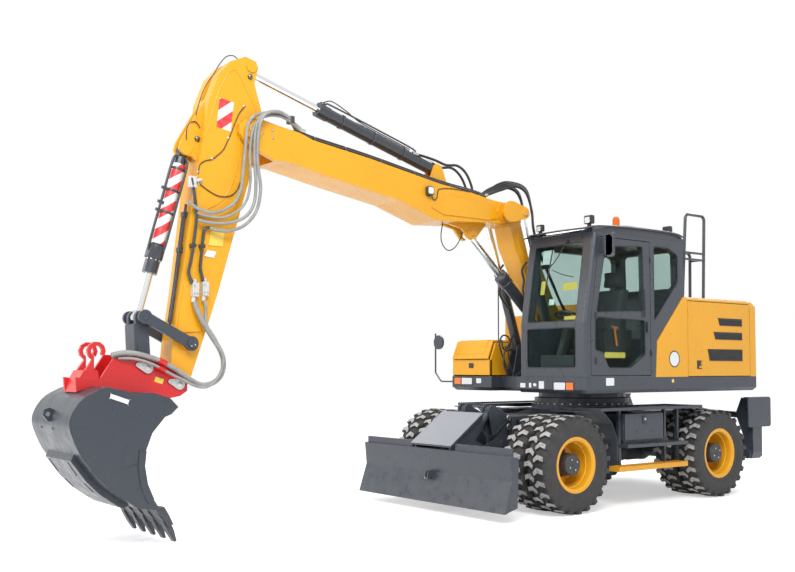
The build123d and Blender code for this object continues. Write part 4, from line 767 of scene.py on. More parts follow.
lamp_boxes = [
    front_plate((772, 1100), (1302, 1412), 1306, 1313, 10),
    front_plate((-1215, -850), (1340, 1448), 1046, 1053, 10),
]
piece("front_lamp_boxes", lamp_boxes, black_plastic, "upper_structure", bevel=2)
clear = [
    front_plate((800, 965), (1318, 1398), 1311, 1321), front_plate((-1058, -866), (1354, 1434), 1051, 1061),
]
amber = [
    front_plate((985, 1084), (1318, 1398), 1311, 1321), front_plate((-1200, -1078), (1354, 1434), 1051, 1061),
]
piece("front_lamps_clear", clear, clear_lens, "upper_structure", bevel=3, segments=3)
piece("front_lamps_amber", amber, amber_lens, "upper_structure", bevel=3, segments=3)
small_labels = [
    front_plate((262, 346), (1336, 1386), 1309.5, 1311), front_plate((404, 440), (1336, 1390), 1309.5, 1311),
    front_plate((470, 520), (1352, 1384), 1309.5, 1311), front_plate((560, 640), (1325, 1410), 1309.5, 1311),
    side_label((842, 974), (1364, 1448), 1249.6, 1.4), front_plate((-790, -700), (1370, 1430), 1049.5, 1051),
]
piece("deck_labels", small_labels, white_label, "upper_structure")
piece(
    "deck_dot", [lathe([(22, 0), (22, 1.2)], (-183, 1249.8, 1408), (0, 1, 0), 28)], yellow_label,
    "upper_structure",
)
tie_downs = [
    lathe([(20, -6), (20, 6), (10, 6), (10, -6)], (x, 600, 1282), (0, 1, 0), 24, ring=True)
    for x in (-900, 1100)
]
piece("deck_eyes", tie_downs, slate, "upper_structure", bevel=1)

# ---- House: pressed doors, hood and a cast counterweight in yellow. The louvres hold black slats, the
# latches are black, and the round plate on the front panel is blank.
dress(
    yellow, "counterweight", "hood_panels", "engine_door_left", "engine_door_right", "engine_hood",
    "right_body", "locker_lid",
)
dress(deep_slate, "engine")
LOUVRES = ((-1090, -1050, 2070, 2170), (-1000, -960, 1900, 2000), (-880, -840, 1640, 1790))
DOOR_FACE, SLAT_PITCH = 1250, 16.0
mesh_grey = painted("louvre_mesh", (0.035, 0.037, 0.040), wear=0.1, gloss=(0.5, 0.7))
for side, name in SIDES:
    backs, frames = [], []
    for x0, x1, z0, z1 in LOUVRES:
        backs.append(plate(
            [(-1556, z0 + 4), (x0 - 3, z0 + 4), (x1 - 5, z1 - 4), (-1556, z1 - 4)],
            *sorted((side * 1238, side * 1250.4)),
        ))
        for z in np.arange(z0 + 14, z1 - 6, SLAT_PITCH):
            end = x0 + (x1 - x0) * (z - z0) / (z1 - z0) - 6
            backs.append(slab(
                [(-1556, 0), (end, 0), (end, 9), (-1556, 9)], (0, side * (DOOR_FACE + 1), z), (1, 0, 0),
                (0, side * 0.6, -0.8), -1.2, 1.2,
            ))
        loop = [(-1560, z0), (x0, z0), (x1, z1), (-1560, z1), (-1560, z0)]
        route = np.array([(x, side * DOOR_FACE, z) for x, z in loop], float)
        for a, b in zip(route, route[1:]):
            frames.append(bar(a, b, 5, 10))
    piece("louvres_" + name, backs, mesh_grey, "engine_door_" + name)
    piece("louvre_rims_" + name, frames, yellow, "engine_door_" + name)
    handle = [
        side_label((-742, -643), (1549, 1646), side * 1242 - 2, 4),
        block((-722, -662), sorted((side * 1243, side * 1249)), (1580, 1640)),
    ]
    piece("door_latch_" + name, handle, black_plastic, "engine_door_" + name, bevel=2)
    piece(
        "door_lock_" + name, [lathe([(9, 0), (9, 5), (6, 7)], (-692, side * 1246, 1565), (0, side, 0), 18)],
        zinc, "engine_door_" + name,
    )
    hinges = [
        bar((x, side * (DOOR_FACE + 2), z), (x, side * (DOOR_FACE + 2), z + 60), 7)
        for x, z in ((-486, 1600), (-486, 2180))
    ]
    piece("door_hinges_" + name, hinges, yellow, "upper_structure")
piece(
    "round_plate_rim",
    [lathe([(97, 0), (97, 2.2), (84, 2.2), (84, 0)], (-215, 1249.5, 1663), (0, 1, 0), 64, ring=True)],
    black_plastic, "upper_structure",
)
piece(
    "round_plate", [lathe([(86, 0), (86, 1.5)], (-215, 1249.5, 1663), (0, 1, 0), 64)], white_label,
    "upper_structure",
)
stack = lathe([
    (44, 0), (44, 14), (38, 20), (44, 26), (38, 32), (44, 38), (38, 44), (44, 50), (38, 56), (44, 62),
    (44, 118), (30, 124),
], (-1620, -700, 2398), (0, 0, 1), 32)
piece("exhaust_stub", [stack], black_plastic, "engine_hood", bevel=1.5)
hood_screws = hexes([(x, y, 2400) for x in (-1180, -540) for y in (-1100, -300, 300, 1100)], (0, 0, 1), 24, 8)
piece("hood_screws", [hood_screws], zinc, "upper_structure")
locker_latch = block((1040, 1052), (-930, -850), (1560, 1620))
piece("locker_latch", [locker_latch], black_plastic, "upper_structure", bevel=2)
cap = lathe([(46, 0), (46, 30), (40, 38), (14, 40)], (-200, -900, 2248), (0, 0, 1), 36)
piece("tank_cap", [cap], black_plastic, "upper_structure", bevel=2)

# ---- Cab: a welded tube frame, slate grey, with bonded tinted glass in black seals. A smoked visor
# stands over the windscreen, and the labels in the glass are blank.
cab_grey = painted("cab_paint", (0.044, 0.052, 0.066), wear=0.3, dust_height=0.1, gloss=(0.25, 0.4), coat=0.2)
dress(cab_grey, "cab_shell", "cab_door", "rails")


def tinted_glass(name, colour):
    """Tinted safety glass that lets light through to what is behind it."""
    mat, tree, shader = new_finish(name)
    shader.inputs["Roughness"].default_value = 0.02
    shader.inputs["Transmission Weight"].default_value = 1.0
    shader.inputs["IOR"].default_value = 1.12
    haze = noise(tree, own_place(tree), 1.3, 2.0)
    tone = blend_colour(tree, remap(tree, haze, 0.35, 0.65), colour, tuple(0.9 * c for c in colour))
    tree.links.new(tone, shader.inputs["Base Color"])
    clear = tree.nodes.new("ShaderNodeBsdfTransparent")
    clear.inputs["Color"].default_value = (*colour, 1)
    ray = tree.nodes.new("ShaderNodeLightPath")
    mix = tree.nodes.new("ShaderNodeMixShader")
    tree.links.new(ray.outputs["Is Shadow Ray"], mix.inputs[0])
    tree.links.new(shader.outputs[0], mix.inputs[1])
    tree.links.new(clear.outputs[0], mix.inputs[2])
    tree.links.new(mix.outputs[0], tree.nodes["Material Output"].inputs[0])
    return mat


glass = tinted_glass("cab_glass_tint", (0.60, 0.71, 0.68))
dress(glass, "cab_glass", "door_glass")
SEAL_R, SEAL_Y = 9.0, 1244


def screen_x(z):
    """Where the leaning windscreen's outer face is at a height."""
    return 1290 - 160 * (z - 2050) / 990


def loop_pipe(corners, radius, cut=28.0):
    """A seal round a window: the corners are cut short and the pipe runs straight between the cuts."""
    p = np.array(corners, float)
    ahead, behind = np.roll(p, -1, 0) - p, np.roll(p, 1, 0) - p
    ahead = ahead / np.linalg.norm(ahead, axis=1)[:, None]
    behind = behind / np.linalg.norm(behind, axis=1)[:, None]
    route = np.stack([p + cut * behind, p + 0.3 * cut * (ahead + behind), p + cut * ahead], 1).reshape(-1, 3)
    return pipe(np.vstack([route, route[:1]]), radius, 8, 1)


def facing(y0, y1, z0, z1, x_at):
    """The corners of a window that faces forwards."""
    return [(x_at(z), y, z) for y, z in ((y0, z0), (y1, z0), (y1, z1), (y0, z1))]


DOOR_UP = [(320, 2200), (1120, 2160), (960, 2900), (330, 2940)]
DOOR_LOW = [(300, 1705), (560, 1555), (925, 1555), (1020, 1725), (1146, 1750), (1140, 2120), (300, 2100)]
SIDE_PANE = [(140, 2090), (140, 2960), (-110, 2960), (-300, 2880), (-300, 2560)]
seals = [
    loop_pipe(facing(355, 1100, 2070, 2950, lambda z: screen_x(z) - 8), SEAL_R),
    loop_pipe(facing(355, 1100, 1560, 2000, lambda z: 1284), SEAL_R),
    loop_pipe([(x, SEAL_Y, z) for x, z in SIDE_PANE], SEAL_R),
]
piece("cab_seals", seals, black_plastic, "upper_structure")
piece(
    "door_seals", [loop_pipe([(x, SEAL_Y - 1, z) for x, z in line], SEAL_R) for line in (DOOR_UP, DOOR_LOW)],
    black_plastic, "cab_door",
)
screen_bar = front_plate((352, 1103), (2003, 2067), 1274, 1294, 4)
piece("screen_bar", [screen_bar], cab_grey, "upper_structure", bevel=3)

smoke = tinted_glass("smoked_visor", (0.28, 0.27, 0.27))
visor = slab([(0, 0), (960, 0), (960, 150), (0, 120)], (1120, 268, 3092), (0, 1, 0), (0.93, 0, -0.36), -3, 3)
piece("visor", [visor], smoke, "upper_structure", bevel=2)
brackets = [
    slab([(-30, 30), (150, -40), (150, -52), (-30, 0)], (1120, y, 3092), (1, 0, 0), (0, 0, 1), -3, 3)
    for y in (300, 1190)
]
gutter = pipe([
    (1150, 262, 3094), (1160, 700, 3100), (1150, 1205, 3094), (1060, 1246, 3112), (500, 1249, 3136),
    (-200, 1249, 3136), (-430, 1246, 3100),
], 11, 8, 6)
piece("cab_gutter", [gutter] + brackets, cab_grey, "upper_structure")

wiper = [
    pipe([
        (screen_x(2960) + 12, 845, 2960), (screen_x(2800) + 16, 745, 2800), (screen_x(2690) + 16, 640, 2690),
    ], 6, 8, 4),
    bar((screen_x(2900) + 9, 650, 2900), (screen_x(2470) + 9, 605, 2470), 7, 8),
    lathe([(22, 0), (22, 26), (14, 34)], (screen_x(2965) - 2, 855, 2965), (1, 0, 0.16), 24),
    pipe([
        (screen_x(2660) + 12, 680, 2660), (screen_x(2600) + 14, 840, 2600), (screen_x(2560) + 12, 1010, 2560),
    ], 5, 8, 4),
]
piece("wiper", wiper, black_plastic, "upper_structure")


def screen_label(y0, y1, z0, z1, x_at):
    """A label stuck inside the windscreen, in the plane of the glass."""
    a, b = np.array([x_at(z0), y0, z0]), np.array([x_at(z1), y0, z1])
    up = (b - a) / np.linalg.norm(b - a)
    return slab([(0, 0), (y1 - y0, 0), (y1 - y0, z1 - z0), (0, z1 - z0)], a, (0, 1, 0), up, 0, 1)


def pane_x(z):
    """The inner face of the windscreen at a height."""
    return screen_x(z) - 26


pane_labels = [
    screen_label(496, 560, 2388, 2545, pane_x), screen_label(905, 1078, 2088, 2128, pane_x),
    screen_label(830, 1050, 2420, 2500, pane_x),
]
piece("screen_labels_yellow", pane_labels, yellow_label, "upper_structure")
piece(
    "screen_label_white",
    [screen_label(646, 730, 2264, 2330, pane_x), screen_label(480, 640, 2740, 2900, pane_x)], white_label,
    "upper_structure",
)
door_mirror = [front_plate((1264, 1428), (2772, 3010), 1012, 1046, 34)]
piece("door_mirror", door_mirror, slate, "cab_door", bevel=8)
piece("door_label", [side_label((625, 968), (1668, 1730), 1225, 1)], yellow_label, "cab_door")
hammer_red = rubber_finish("hammer_orange", (0.80, 0.17, 0.01), (0.7, 0.2, 0.05), 300.0, 0.4)
hammer = [
    pipe([(700, 1140, 2012), (690, 1142, 1930), (664, 1142, 1806)], 12, 10, 4),
    bar((664, 1142, 2010), (736, 1142, 2018), 15, 12),
]
piece("escape_hammer", hammer, hammer_red, "upper_structure")

door_trim = [
    bar((1128, 1252, 2090), (1128, 1252, 2160), 14), bar((1128, 1252, 1600), (1128, 1252, 1670), 14),
    side_label((262, 296), (1972, 2066), 1246, 6),
    pipe([(330, 1254, 2140), (330, 1268, 2160), (330, 1268, 2420), (330, 1254, 2440)], 9, 8, 3),
]
piece("door_trim", door_trim, black_plastic, "cab_door", bevel=1)

# ---- Cab interior: a seat base, consoles and steering column moulded in black plastic, two joysticks
# with bellows, a monitor, and a cloth seat of three stuffed pads.
seat_cloth = rubber_finish("seat_cloth", (0.05, 0.053, 0.058), (0.09, 0.09, 0.095), 900.0, 0.9)
dress(black_plastic, "operator_station")
dress(seat_cloth, "seat_cushions")
BELLOWS = [(48, 0), (42, 12), (46, 20), (34, 32), (38, 40), (24, 54), (18, 64)]
sticks = []
for y in (480, 1005):
    sticks += [pipe([(745, y, 2050), (752, y, 2120), (748, y, 2190), (756, y, 2235)], 14, 12, 4)]
    sticks += [lathe(BELLOWS, (745, y, 2010), (0, 0, 1), 28)]
piece("joysticks", sticks, black_plastic, "upper_structure")
screen = block((1065, 1085), (1030, 1165), (2120, 2290))
piece("monitor", [screen], black_plastic, "upper_structure", bevel=6)


def grown(points, amount):
    """A body's points moved out from its middle by a share."""
    middle = points.mean(axis=0)
    return middle + (points - middle) * amount


CLOTH_GRID, CLOTH_FRAMES, PAD_SWELL = 0.009, 20, 14.0


def settle(obj, swell):
    """Stuffs one pad: its box is remeshed, blown up as cloth under pressure for a few frames, and keeps
    its last shape, with no point further than swell millimetres from its start."""
    scene = bpy.context.scene
    remesh = obj.modifiers.new("even", "REMESH")
    remesh.mode = "VOXEL"
    remesh.voxel_size = CLOTH_GRID
    depsgraph = bpy.context.evaluated_depsgraph_get()
    even = bpy.data.meshes.new_from_object(obj.evaluated_get(depsgraph))
    obj.modifiers.clear()
    obj.data = even
    start = np.empty(3 * len(even.vertices))
    even.vertices.foreach_get("co", start)
    cloth = obj.modifiers.new("stuffing", "CLOTH")
    cloth.settings.use_pressure = True
    cloth.settings.uniform_pressure_force = 4
    cloth.settings.quality = 5
    cloth.settings.effector_weights.gravity = 0
    cloth.point_cache.frame_start, cloth.point_cache.frame_end = 1, CLOTH_FRAMES
    for frame_number in range(1, CLOTH_FRAMES + 1):
        scene.frame_set(frame_number)
    blown = bpy.data.meshes.new_from_object(obj.evaluated_get(bpy.context.evaluated_depsgraph_get()))
    end = np.empty(3 * len(blown.vertices))
    blown.vertices.foreach_get("co", end)
    obj.modifiers.clear()
    move = (end - start).reshape(-1, 3)
    length = np.linalg.norm(move, axis=1)[:, None]
    move = move * np.minimum(1.0, swell * MM / np.maximum(length, 1e-9))
    blown.vertices.foreach_set("co", (start.reshape(-1, 3) + move).ravel())
    blown.update()
    obj.data = blown
    scene.frame_set(1)


SEAT = [(300, 1785), (755, 1785), (772, 1900), (700, 1915), (420, 1880), (300, 1885)]
BACKREST = [(292, 1900), (400, 1900), (372, 2150), (330, 2495), (205, 2495), (240, 2200)]
HEADREST = [(216, 2505), (288, 2505), (272, 2688), (198, 2688)]
PADS = (
    ("seat_cushion", SEAT, 518, 967), ("seat_back", BACKREST, 522, 962), ("headrest", HEADREST, 613, 872),
)
for name, outline, y0, y1 in PADS:
    points, faces = plate(outline, y0, y1)
    cushion = piece(name, [(grown(points, 0.95), faces)], seat_cloth, None)
    settle(cushion, PAD_SWELL)
    round_off = cushion.modifiers.new("round", "SUBSURF")
    round_off.levels = round_off.render_levels = 1
    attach(cushion, "upper_structure")
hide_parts("seat_cushions")
posts = [bar((244, y, 2470), (240, y, 2560), 7) for y in (690, 795)]
belt = [pipe([(300, 975, 1850), (340, 985, 1990), (300, 960, 2120), (250, 900, 2420)], 9, 8, 5)]
piece("seat_posts", posts + belt, black_plastic, "upper_structure")

# ---- Roof: work lamps in black plastic housings on brackets, with clear fluted lenses, and a beacon
# whose dome is moulded in amber.
BEACON, BEACON_REACH, DOME_FOOT = (0.253, 0.80), 0.1, 3.193


def lamp_finish():
    """Black lamp housings; the dome round the beacon's axis is amber above its foot."""
    mat = rubber_finish("lamp_housings", BLACK, BLACK_DUST, 300.0, 0.45)
    tree = mat.node_tree
    shader = tree.nodes["Principled BSDF"]
    split = split_place(tree)
    dome = combine(tree, "GREATER_THAN", split.outputs["Z"], DOME_FOOT)
    for letter, middle in zip("XY", BEACON):
        off = combine(tree, "ABSOLUTE", combine(tree, "SUBTRACT", split.outputs[letter], middle), 0.0)
        dome = combine(tree, "MULTIPLY", dome, combine(tree, "LESS_THAN", off, BEACON_REACH))
    old = shader.inputs["Base Color"].links[0].from_socket
    tree.links.new(blend_colour(tree, dome, old, (0.85, 0.17, 0.01)), shader.inputs["Base Color"])
    old_rough = shader.inputs["Roughness"].links[0].from_socket
    tree.links.new(
        combine(tree, "SUBTRACT", old_rough, combine(tree, "MULTIPLY", dome, 0.3)),
        shader.inputs["Roughness"],
    )
    return mat


dress(lamp_finish(), "lamps")
lenses = []
for x, y, size, z, way in ((1035, 1085, 95, 3158, 1), (1035, 330, 80, 3150, 1), (-440, 1000, 95, 3178, -1)):
    face = x + way * (0.35 * size + 1)
    lenses.append(front_plate(
        (y - 0.38 * size, y + 0.38 * size), (z, z + 0.72 * size), *sorted((face - 2, face + 4)), 8,
    ))
piece("roof_lamp_lenses", lenses, clear_lens, "upper_structure", bevel=2)

# ---- Right-hand body: a sheet-steel tank behind an open locker, both in the machine's yellow. The
# tank's front corner steps down to the locker's height.
BODY_OUT, BODY_IN, BODY_FOOT, SHEET = -1249, -531, 1456, 22
LOCKER_Y = (BODY_OUT + 20, BODY_IN)
body_parts = [
    plate([(-438, BODY_FOOT), (120, BODY_FOOT), (120, 2225), (100, 2249), (-438, 2249)], BODY_OUT, BODY_IN),
    plate([(119, BODY_FOOT), (381, BODY_FOOT), (381, 1890), (371, 1900), (119, 1900)], BODY_OUT, BODY_IN),
    block((388, 410), LOCKER_Y, (BODY_FOOT, 1872)), block((1020, 1043), LOCKER_Y, (BODY_FOOT, 1662)),
    block((389, 1043), LOCKER_Y, (BODY_FOOT, 1475)),
]
LOCKER_SIDE = [(388, BODY_FOOT), (1043, BODY_FOOT), (1043, 1660), (960, 1871), (388, 1871)]
for y in (BODY_OUT, BODY_IN - SHEET):
    body_parts.append(plate(LOCKER_SIDE, y, y + SHEET))
right_panels = piece("right_body_panels", body_parts, yellow, "upper_structure", bevel=3)
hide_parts("right_body")

# ---- Booms, arm and cylinders: box sections in yellow, cylinders in slate with chromed rods. Pins are
# held by keeper plates, and steel pipes run along the boom's top to hoses at each joint.
boom_yellow = painted(
    "boom_yellow", YELLOW, worn=WORN_YELLOW, wear=0.15, dust_height=0.3, gloss=(0.26, 0.38), coat=0.12,
)
dress(boom_yellow, "lower_boom", "upper_boom", "arm")
barrel_grey = painted("barrel_paint", (0.034, 0.039, 0.048), wear=0.3, gloss=(0.25, 0.4), coat=0.2)
dress(barrel_grey, "lift_barrels", "adjust_barrel", "bucket_barrel", "arm_barrel")
dress(chrome, "lift_rods", "adjust_rod", "arm_rod", "bucket_rod")
dress(slate, "idler_links", "tipping_link")
BOOM_Y = -150.0
pipe_steel = painted("pipe_steel", (0.045, 0.047, 0.052), wear=0.3, gloss=(0.2, 0.35), coat=0.3)

BOOM_TOP = np.array(
    [(1640, 3536), (1865, 3574), (2351, 3628), (3307, 3788), (4002, 3884), (4210, 3938)], float,
)
top_pipes = []
for y, r, lift in (
    (52, 12, 0), (18, 12, 0), (-16, 12, 2), (-282, 12, 0), (-316, 12, 0), (-350, 10, 0), (30, 8, 28),
):
    top_pipes.append(pipe([(x, y, z + lift) for x, z in BOOM_TOP], r, 10, 4))
piece("boom_pipes", top_pipes, pipe_steel, "upper_boom")
clamps, clamp_bolts = [], []
for x, z in ((1760, 3556), (2200, 3609), (2700, 3684), (3150, 3760), (3600, 3826), (3980, 3878)):
    for y0, y1 in ((-40, 76), (-372, -260)):
        clamps.append(block((x - 16, x + 16), (y0, y1), (z - 34, z + 20)))
        clamp_bolts.append(hexes([(x, y0 + 8, z + 20), (x, y1 - 8, z + 20)], (0, 0, 1), 16, 8))
piece("boom_pipe_clamps", clamps, pipe_steel, "upper_boom", bevel=3)
piece("boom_clamp_bolts", clamp_bolts, zinc, "upper_boom")


def keeper(pin, y, way, radius, body, name, across=22, finish=None):
    """A pin's end cap: a turned disc held by two bolts."""
    x, z = pin
    disc = lathe(
        [(radius, 0), (radius, 7), (radius - 5, 12), (0.4 * radius, 12), (0.3 * radius, 9)],
        (x, way * y + BOOM_Y, z), (0, way, 0), 40,
    )
    edge = way * (y + 12) + BOOM_Y
    bolts = hexes(
        [(x - 0.55 * radius, edge, z - 0.3 * radius), (x + 0.3 * radius, edge, z - 0.55 * radius)],
        (0, way, 0), across, 10,
    )
    piece(name, [disc], finish or boom_yellow, body, bevel=1)
    piece(name + "_bolts", [bolts], zinc, body)


for way, tag in SIDES:
    keeper((1380, 3370), 256, way, 58, "upper_boom", "knee_cap_" + tag)
    keeper((4700, 3875), 250, way, 56, "upper_boom", "arm_pivot_cap_" + tag)
    keeper((1750, 3119), 94, way, 40, "upper_boom", "adjust_cap_" + tag, 16)
    keeper((280, 1880), 177, way, 52, "upper_structure", "foot_cap_" + tag)
    keeper((1170, 3372), 369, way, 42, "lower_boom", "lift_cap_" + tag, 16)
    keeper((5301, 1783), 196, way, 44, "arm", "idler_cap_" + tag, 16, slate)
dark_steel = metal("dark_steel", (0.13, 0.13, 0.14), 0.28)
DOME = [(26, 0), (26, 8), (22, 18), (12, 25), (3, 27)]
domes = [
    lathe(DOME, (x, BOOM_Y + way * y, z), (0, way, 0), 32)
    for x, y, z in ((4705, 172, 4399), (5214, 72, 3734)) for way in (1, -1)
]
piece("arm_pin_heads", domes, dark_steel, "arm")
nipples = [
    lathe([(13, 0), (13, 10), (7, 16)], (x, 79, z), (0, 1, 0), 18)
    for x, z in ((4590, 3855), (4484, 3896), (4483, 3821))
]
piece("boom_nose_fittings", nipples, zinc, "upper_boom")
lift_hoses = []
for y in (66, -340):
    lift_hoses.append(pipe([
        (1000, y, 2820), (1056, y - 24, 2722), (1022, y - 30, 2600), (1036, y - 30, 2460),
        (950, y - 14, 2330), (880, y, 2280),
    ], 13, 10, 6))
piece("lift_hoses", lift_hoses, black_hose, "lift_barrels")
coils = [
    pipe([
        (900, -350, 1480), (1010, -352, 1700), (1062, -350, 1850), (1017, -346, 1950), (930, -342, 1940),
        (892, -338, 1850), (940, -334, 1770), (1020, -330, 1800), (1050, -326, 1900),
    ], 10, 10, 6),
    pipe([
        (860, -326, 1480), (930, -330, 1700), (900, -336, 1880), (820, -350, 1960), (790, -356, 1850),
        (860, -362, 1780), (960, -366, 1820),
    ], 10, 10, 6),
    pipe([(960, -322, 1480), (1020, -322, 1620), (1000, -322, 1760), (930, -322, 1850)], 10, 10, 6),
]
piece("foot_coils", coils, black_hose, "upper_structure")

side_lamp = [side_label((2473, 2567), (3455, 3549), 92, 44, 12), block((2500, 2540), (80, 96), (3440, 3460))]
piece("boom_lamp", side_lamp, pipe_steel, "upper_boom", bevel=5)
lamp_glass = [side_label((2484, 2556), (3466, 3538), 135, 5, 12)]
piece("boom_lamp_lens", lamp_glass, clear_lens, "upper_boom", bevel=2)
lamp_wire = pipe([
    (2480, 92, 3452), (2440, 90, 3412), (2400, 88, 3440), (2380, 86, 3520), (2340, 84, 3546),
    (2170, 84, 3566), (1906, 84, 3560),
], 5, 8)
lug_wire = pipe([
    (2190, -60, 3215), (2222, -58, 3050), (2200, -56, 2950), (2125, -56, 2890), (2030, -58, 2920),
    (1950, -60, 3010), (1900, -60, 3120),
], 6, 8)
piece("boom_wires", [lamp_wire, lug_wire], black_hose, "upper_boom")

# ---- Hoses from the boom's top over the knee and down behind the lower boom, and from the boom's top
# to the arm's cylinder: wire-braided rubber with swaged steel ends, held by fittings at both ends.
KNEE_BACK, HOSE_PITCH = 905, 34
HOSE_ROW = [(-10 - HOSE_PITCH * n, n % 4) for n in range(7)]
knee_hoses, knee_ends = [], []
for y, layer in HOSE_ROW:
    rise = 3660 + 22 * layer
    back = KNEE_BACK - HOSE_PITCH * layer
    route = [
        (1640, y, 3545), (1520, y, 3590), (1330, y + 3, rise), (1120, y + 6, rise + 62),
        (back + 40, y + 6, rise + 10), (back - 60, y + 4, 3470), (back - 95, y, 3250),
        (back - 180, y, 3000), (back - 330, y, 2740),
    ]
    knee_hoses.append(pipe(route, 15, 10, 7))
    knee_ends.append(bar((1650, y, 3546), (1560, y, 3572), 19, 12))
hoses = piece("knee_hoses", knee_hoses, black_hose, None)
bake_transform(hoses)
piece("knee_hose_ends", knee_ends, zinc, "upper_boom")
foot_hoses = []
for y, layer in HOSE_ROW:
    x = KNEE_BACK - HOSE_PITCH * layer - 330
    foot_hoses.append(pipe([
        (x, y, 2740), (x - 110, y, 2560), (x - 260, y, 2320), (60, y, 2080), (-20, y, 1820), (20, y, 1600),
        (110, y, 1470),
    ], 15, 10, 6))
lower_hoses = piece("boom_foot_hoses", foot_hoses, black_hose, None)
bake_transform(lower_hoses)
piece("hose_clamp_lower", [block((571, 599), (-270, 20), (2764, 2816))], pipe_steel, "lower_boom", bevel=4)

cylinder_hoses, cylinder_ends = [], []
for n, y in enumerate((-203, -97)):
    cylinder_hoses.append(pipe([
        (1700, y, 3550), (1735, y, 3690), (1820, y, 3810 + 10 * n), (1945, y, 3876 + 8 * n),
        (2110, y, 3862 + 10 * n), (2270, y, 3906), (2420, y, 3928), (2560, y, 3941),
    ], 15, 10, 7))
    cylinder_ends.append(bar((1699, y, 3530), (1708, y, 3600), 19, 12))
    cylinder_ends.append(bar((2520, y, 3938), (2600, y, 3948), 19, 12))
arm_hoses = piece("arm_cylinder_hoses", cylinder_hoses, black_hose, None)
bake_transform(arm_hoses)
piece("arm_cylinder_hose_ends", cylinder_ends[0::2], zinc, "upper_boom")
piece("arm_cylinder_unions", cylinder_ends[1::2], zinc, "arm_barrel")


def beside(base, tip, along_mm, off, across_mm):
    """A point beside a cylinder: so far along its axis, off it square to the axis in the side view, and
    so far across the machine from its middle."""
    b, t = np.array(base, float), np.array(tip, float)
    d = (t - b) / np.linalg.norm(t - b)
    p = b + along_mm * d + off * np.array([-d[1], d[0]])
    return (p[0], BOOM_Y + across_mm, p[1])


def cylinder_frame(base, tip, across_mm=0.0):
    """A cylinder's own frame: the function that gives a point beside it, and the way down its axis."""
    def at(along_mm, off=0.0, aside=0.0):
        return beside(base, tip, along_mm, off, across_mm + aside)
    return at, np.subtract(at(1), at(0))


def pipe_beside(at, stops, radius, sides):
    """A pipe along a cylinder, each stop given as so far along, off and across."""
    return pipe([at(*stop) for stop in stops], radius, sides, 4)


barrel_at, barrel_way = cylinder_frame((2249, 3801), (4690, 4505))
LONG_WAY = ((340, 60, 46), (380, 92, 46), (800, 96, 46), (1480, 96, 40), (1560, 88, 30), (1600, 66, 20))
SHORT_WAY = ((340, 60, -46), (380, 92, -46), (800, 96, -46), (1100, 94, -46), (1180, 66, -40))
barrel_pipe = [pipe_beside(barrel_at, stops, 10, 10) for stops in (LONG_WAY, SHORT_WAY)]
union = [bar(barrel_at(1590, 50, 0), barrel_at(1590, 96, 0), 28, 16)]
piece("arm_barrel_pipes", barrel_pipe + union, pipe_steel, "arm_barrel")
bands = [
    lathe([(74, -14), (78, -12), (78, 12), (74, 14)], barrel_at(s), barrel_way, 40, ring=True)
    for s in (480, 900, 1320)
]
piece("arm_barrel_bands", bands, pipe_steel, "arm_barrel")
gland_wire = pipe([
    barrel_at(s, o, 20) for s, o in ((1600, 90), (1500, 150), (1300, 130), (1100, 90), (700, 84), (400, 82))
], 6, 8)
piece("arm_gland_wire", [gland_wire], black_hose, "arm_barrel")

# ---- Arm: a tapered box section welded from plate, with steel pipes down its left side, two white valve
# blocks, striped plates high on both sides and blank labels. Four rubber hoses loop down to it.


def stripe_finish(name, slope, pitch):
    """Red and white bands: the share of x times a slope plus z, over the pitch, decides the colour."""
    mat, tree, shader = new_finish(name)
    shader.inputs["Coat Weight"].default_value = 0.3
    split = split_place(tree)
    run = combine(tree, "ADD", combine(tree, "MULTIPLY", split.outputs["X"], slope), split.outputs["Z"])
    share = combine(tree, "FRACT", combine(tree, "DIVIDE", run, pitch), 0.0)
    band = remap(tree, share, 0.49, 0.51)
    soil = noise(tree, own_place(tree), 30.0, 4.0)
    tone = blend_colour(tree, band, (0.72, 0.035, 0.045), (0.82, 0.82, 0.82))
    tone = blend_colour(tree, remap(tree, soil, 0.5, 0.8, 0.0, 0.3), tone, (0.35, 0.30, 0.26))
    surface(tree, shader, tone, remap(tree, soil, 0.3, 0.7, 0.25, 0.4))
    return mat


arm_stripes = stripe_finish("hazard_stripes", 0.75, 0.2)
for way, tag in SIDES:
    y = sorted((BOOM_Y + way * 171.5, BOOM_Y + way * 174))
    piece(
        "striped_plate_" + tag, [plate([(5030, 4140), (4880, 4118), (4910, 3830), (5060, 3852)], *y)],
        arm_stripes, "arm",
    )
ARM_HEIGHTS, ARM_HALVES = (1300, 2300, 3300, 3600), (122, 130, 150, 172)
FRONT_HEIGHTS, FRONT_X = (1774, 2285, 3329), (5486, 5412, 5281)


def arm_side(x, z):
    """The arm's left face at a height, from its half width at four heights."""
    half = np.interp(z, ARM_HEIGHTS, ARM_HALVES)
    return (x, BOOM_Y + half, z)


def beside_arm(points, off):
    """A route down the arm's left side, off its face."""
    return [tuple(np.add(arm_side(x, z), (0, off, 0))) for x, z in points]


def arm_front(y, heights):
    """A route down the arm's front face, so far across the machine."""
    return [(np.interp(z, FRONT_HEIGHTS, FRONT_X), y, z) for z in heights]


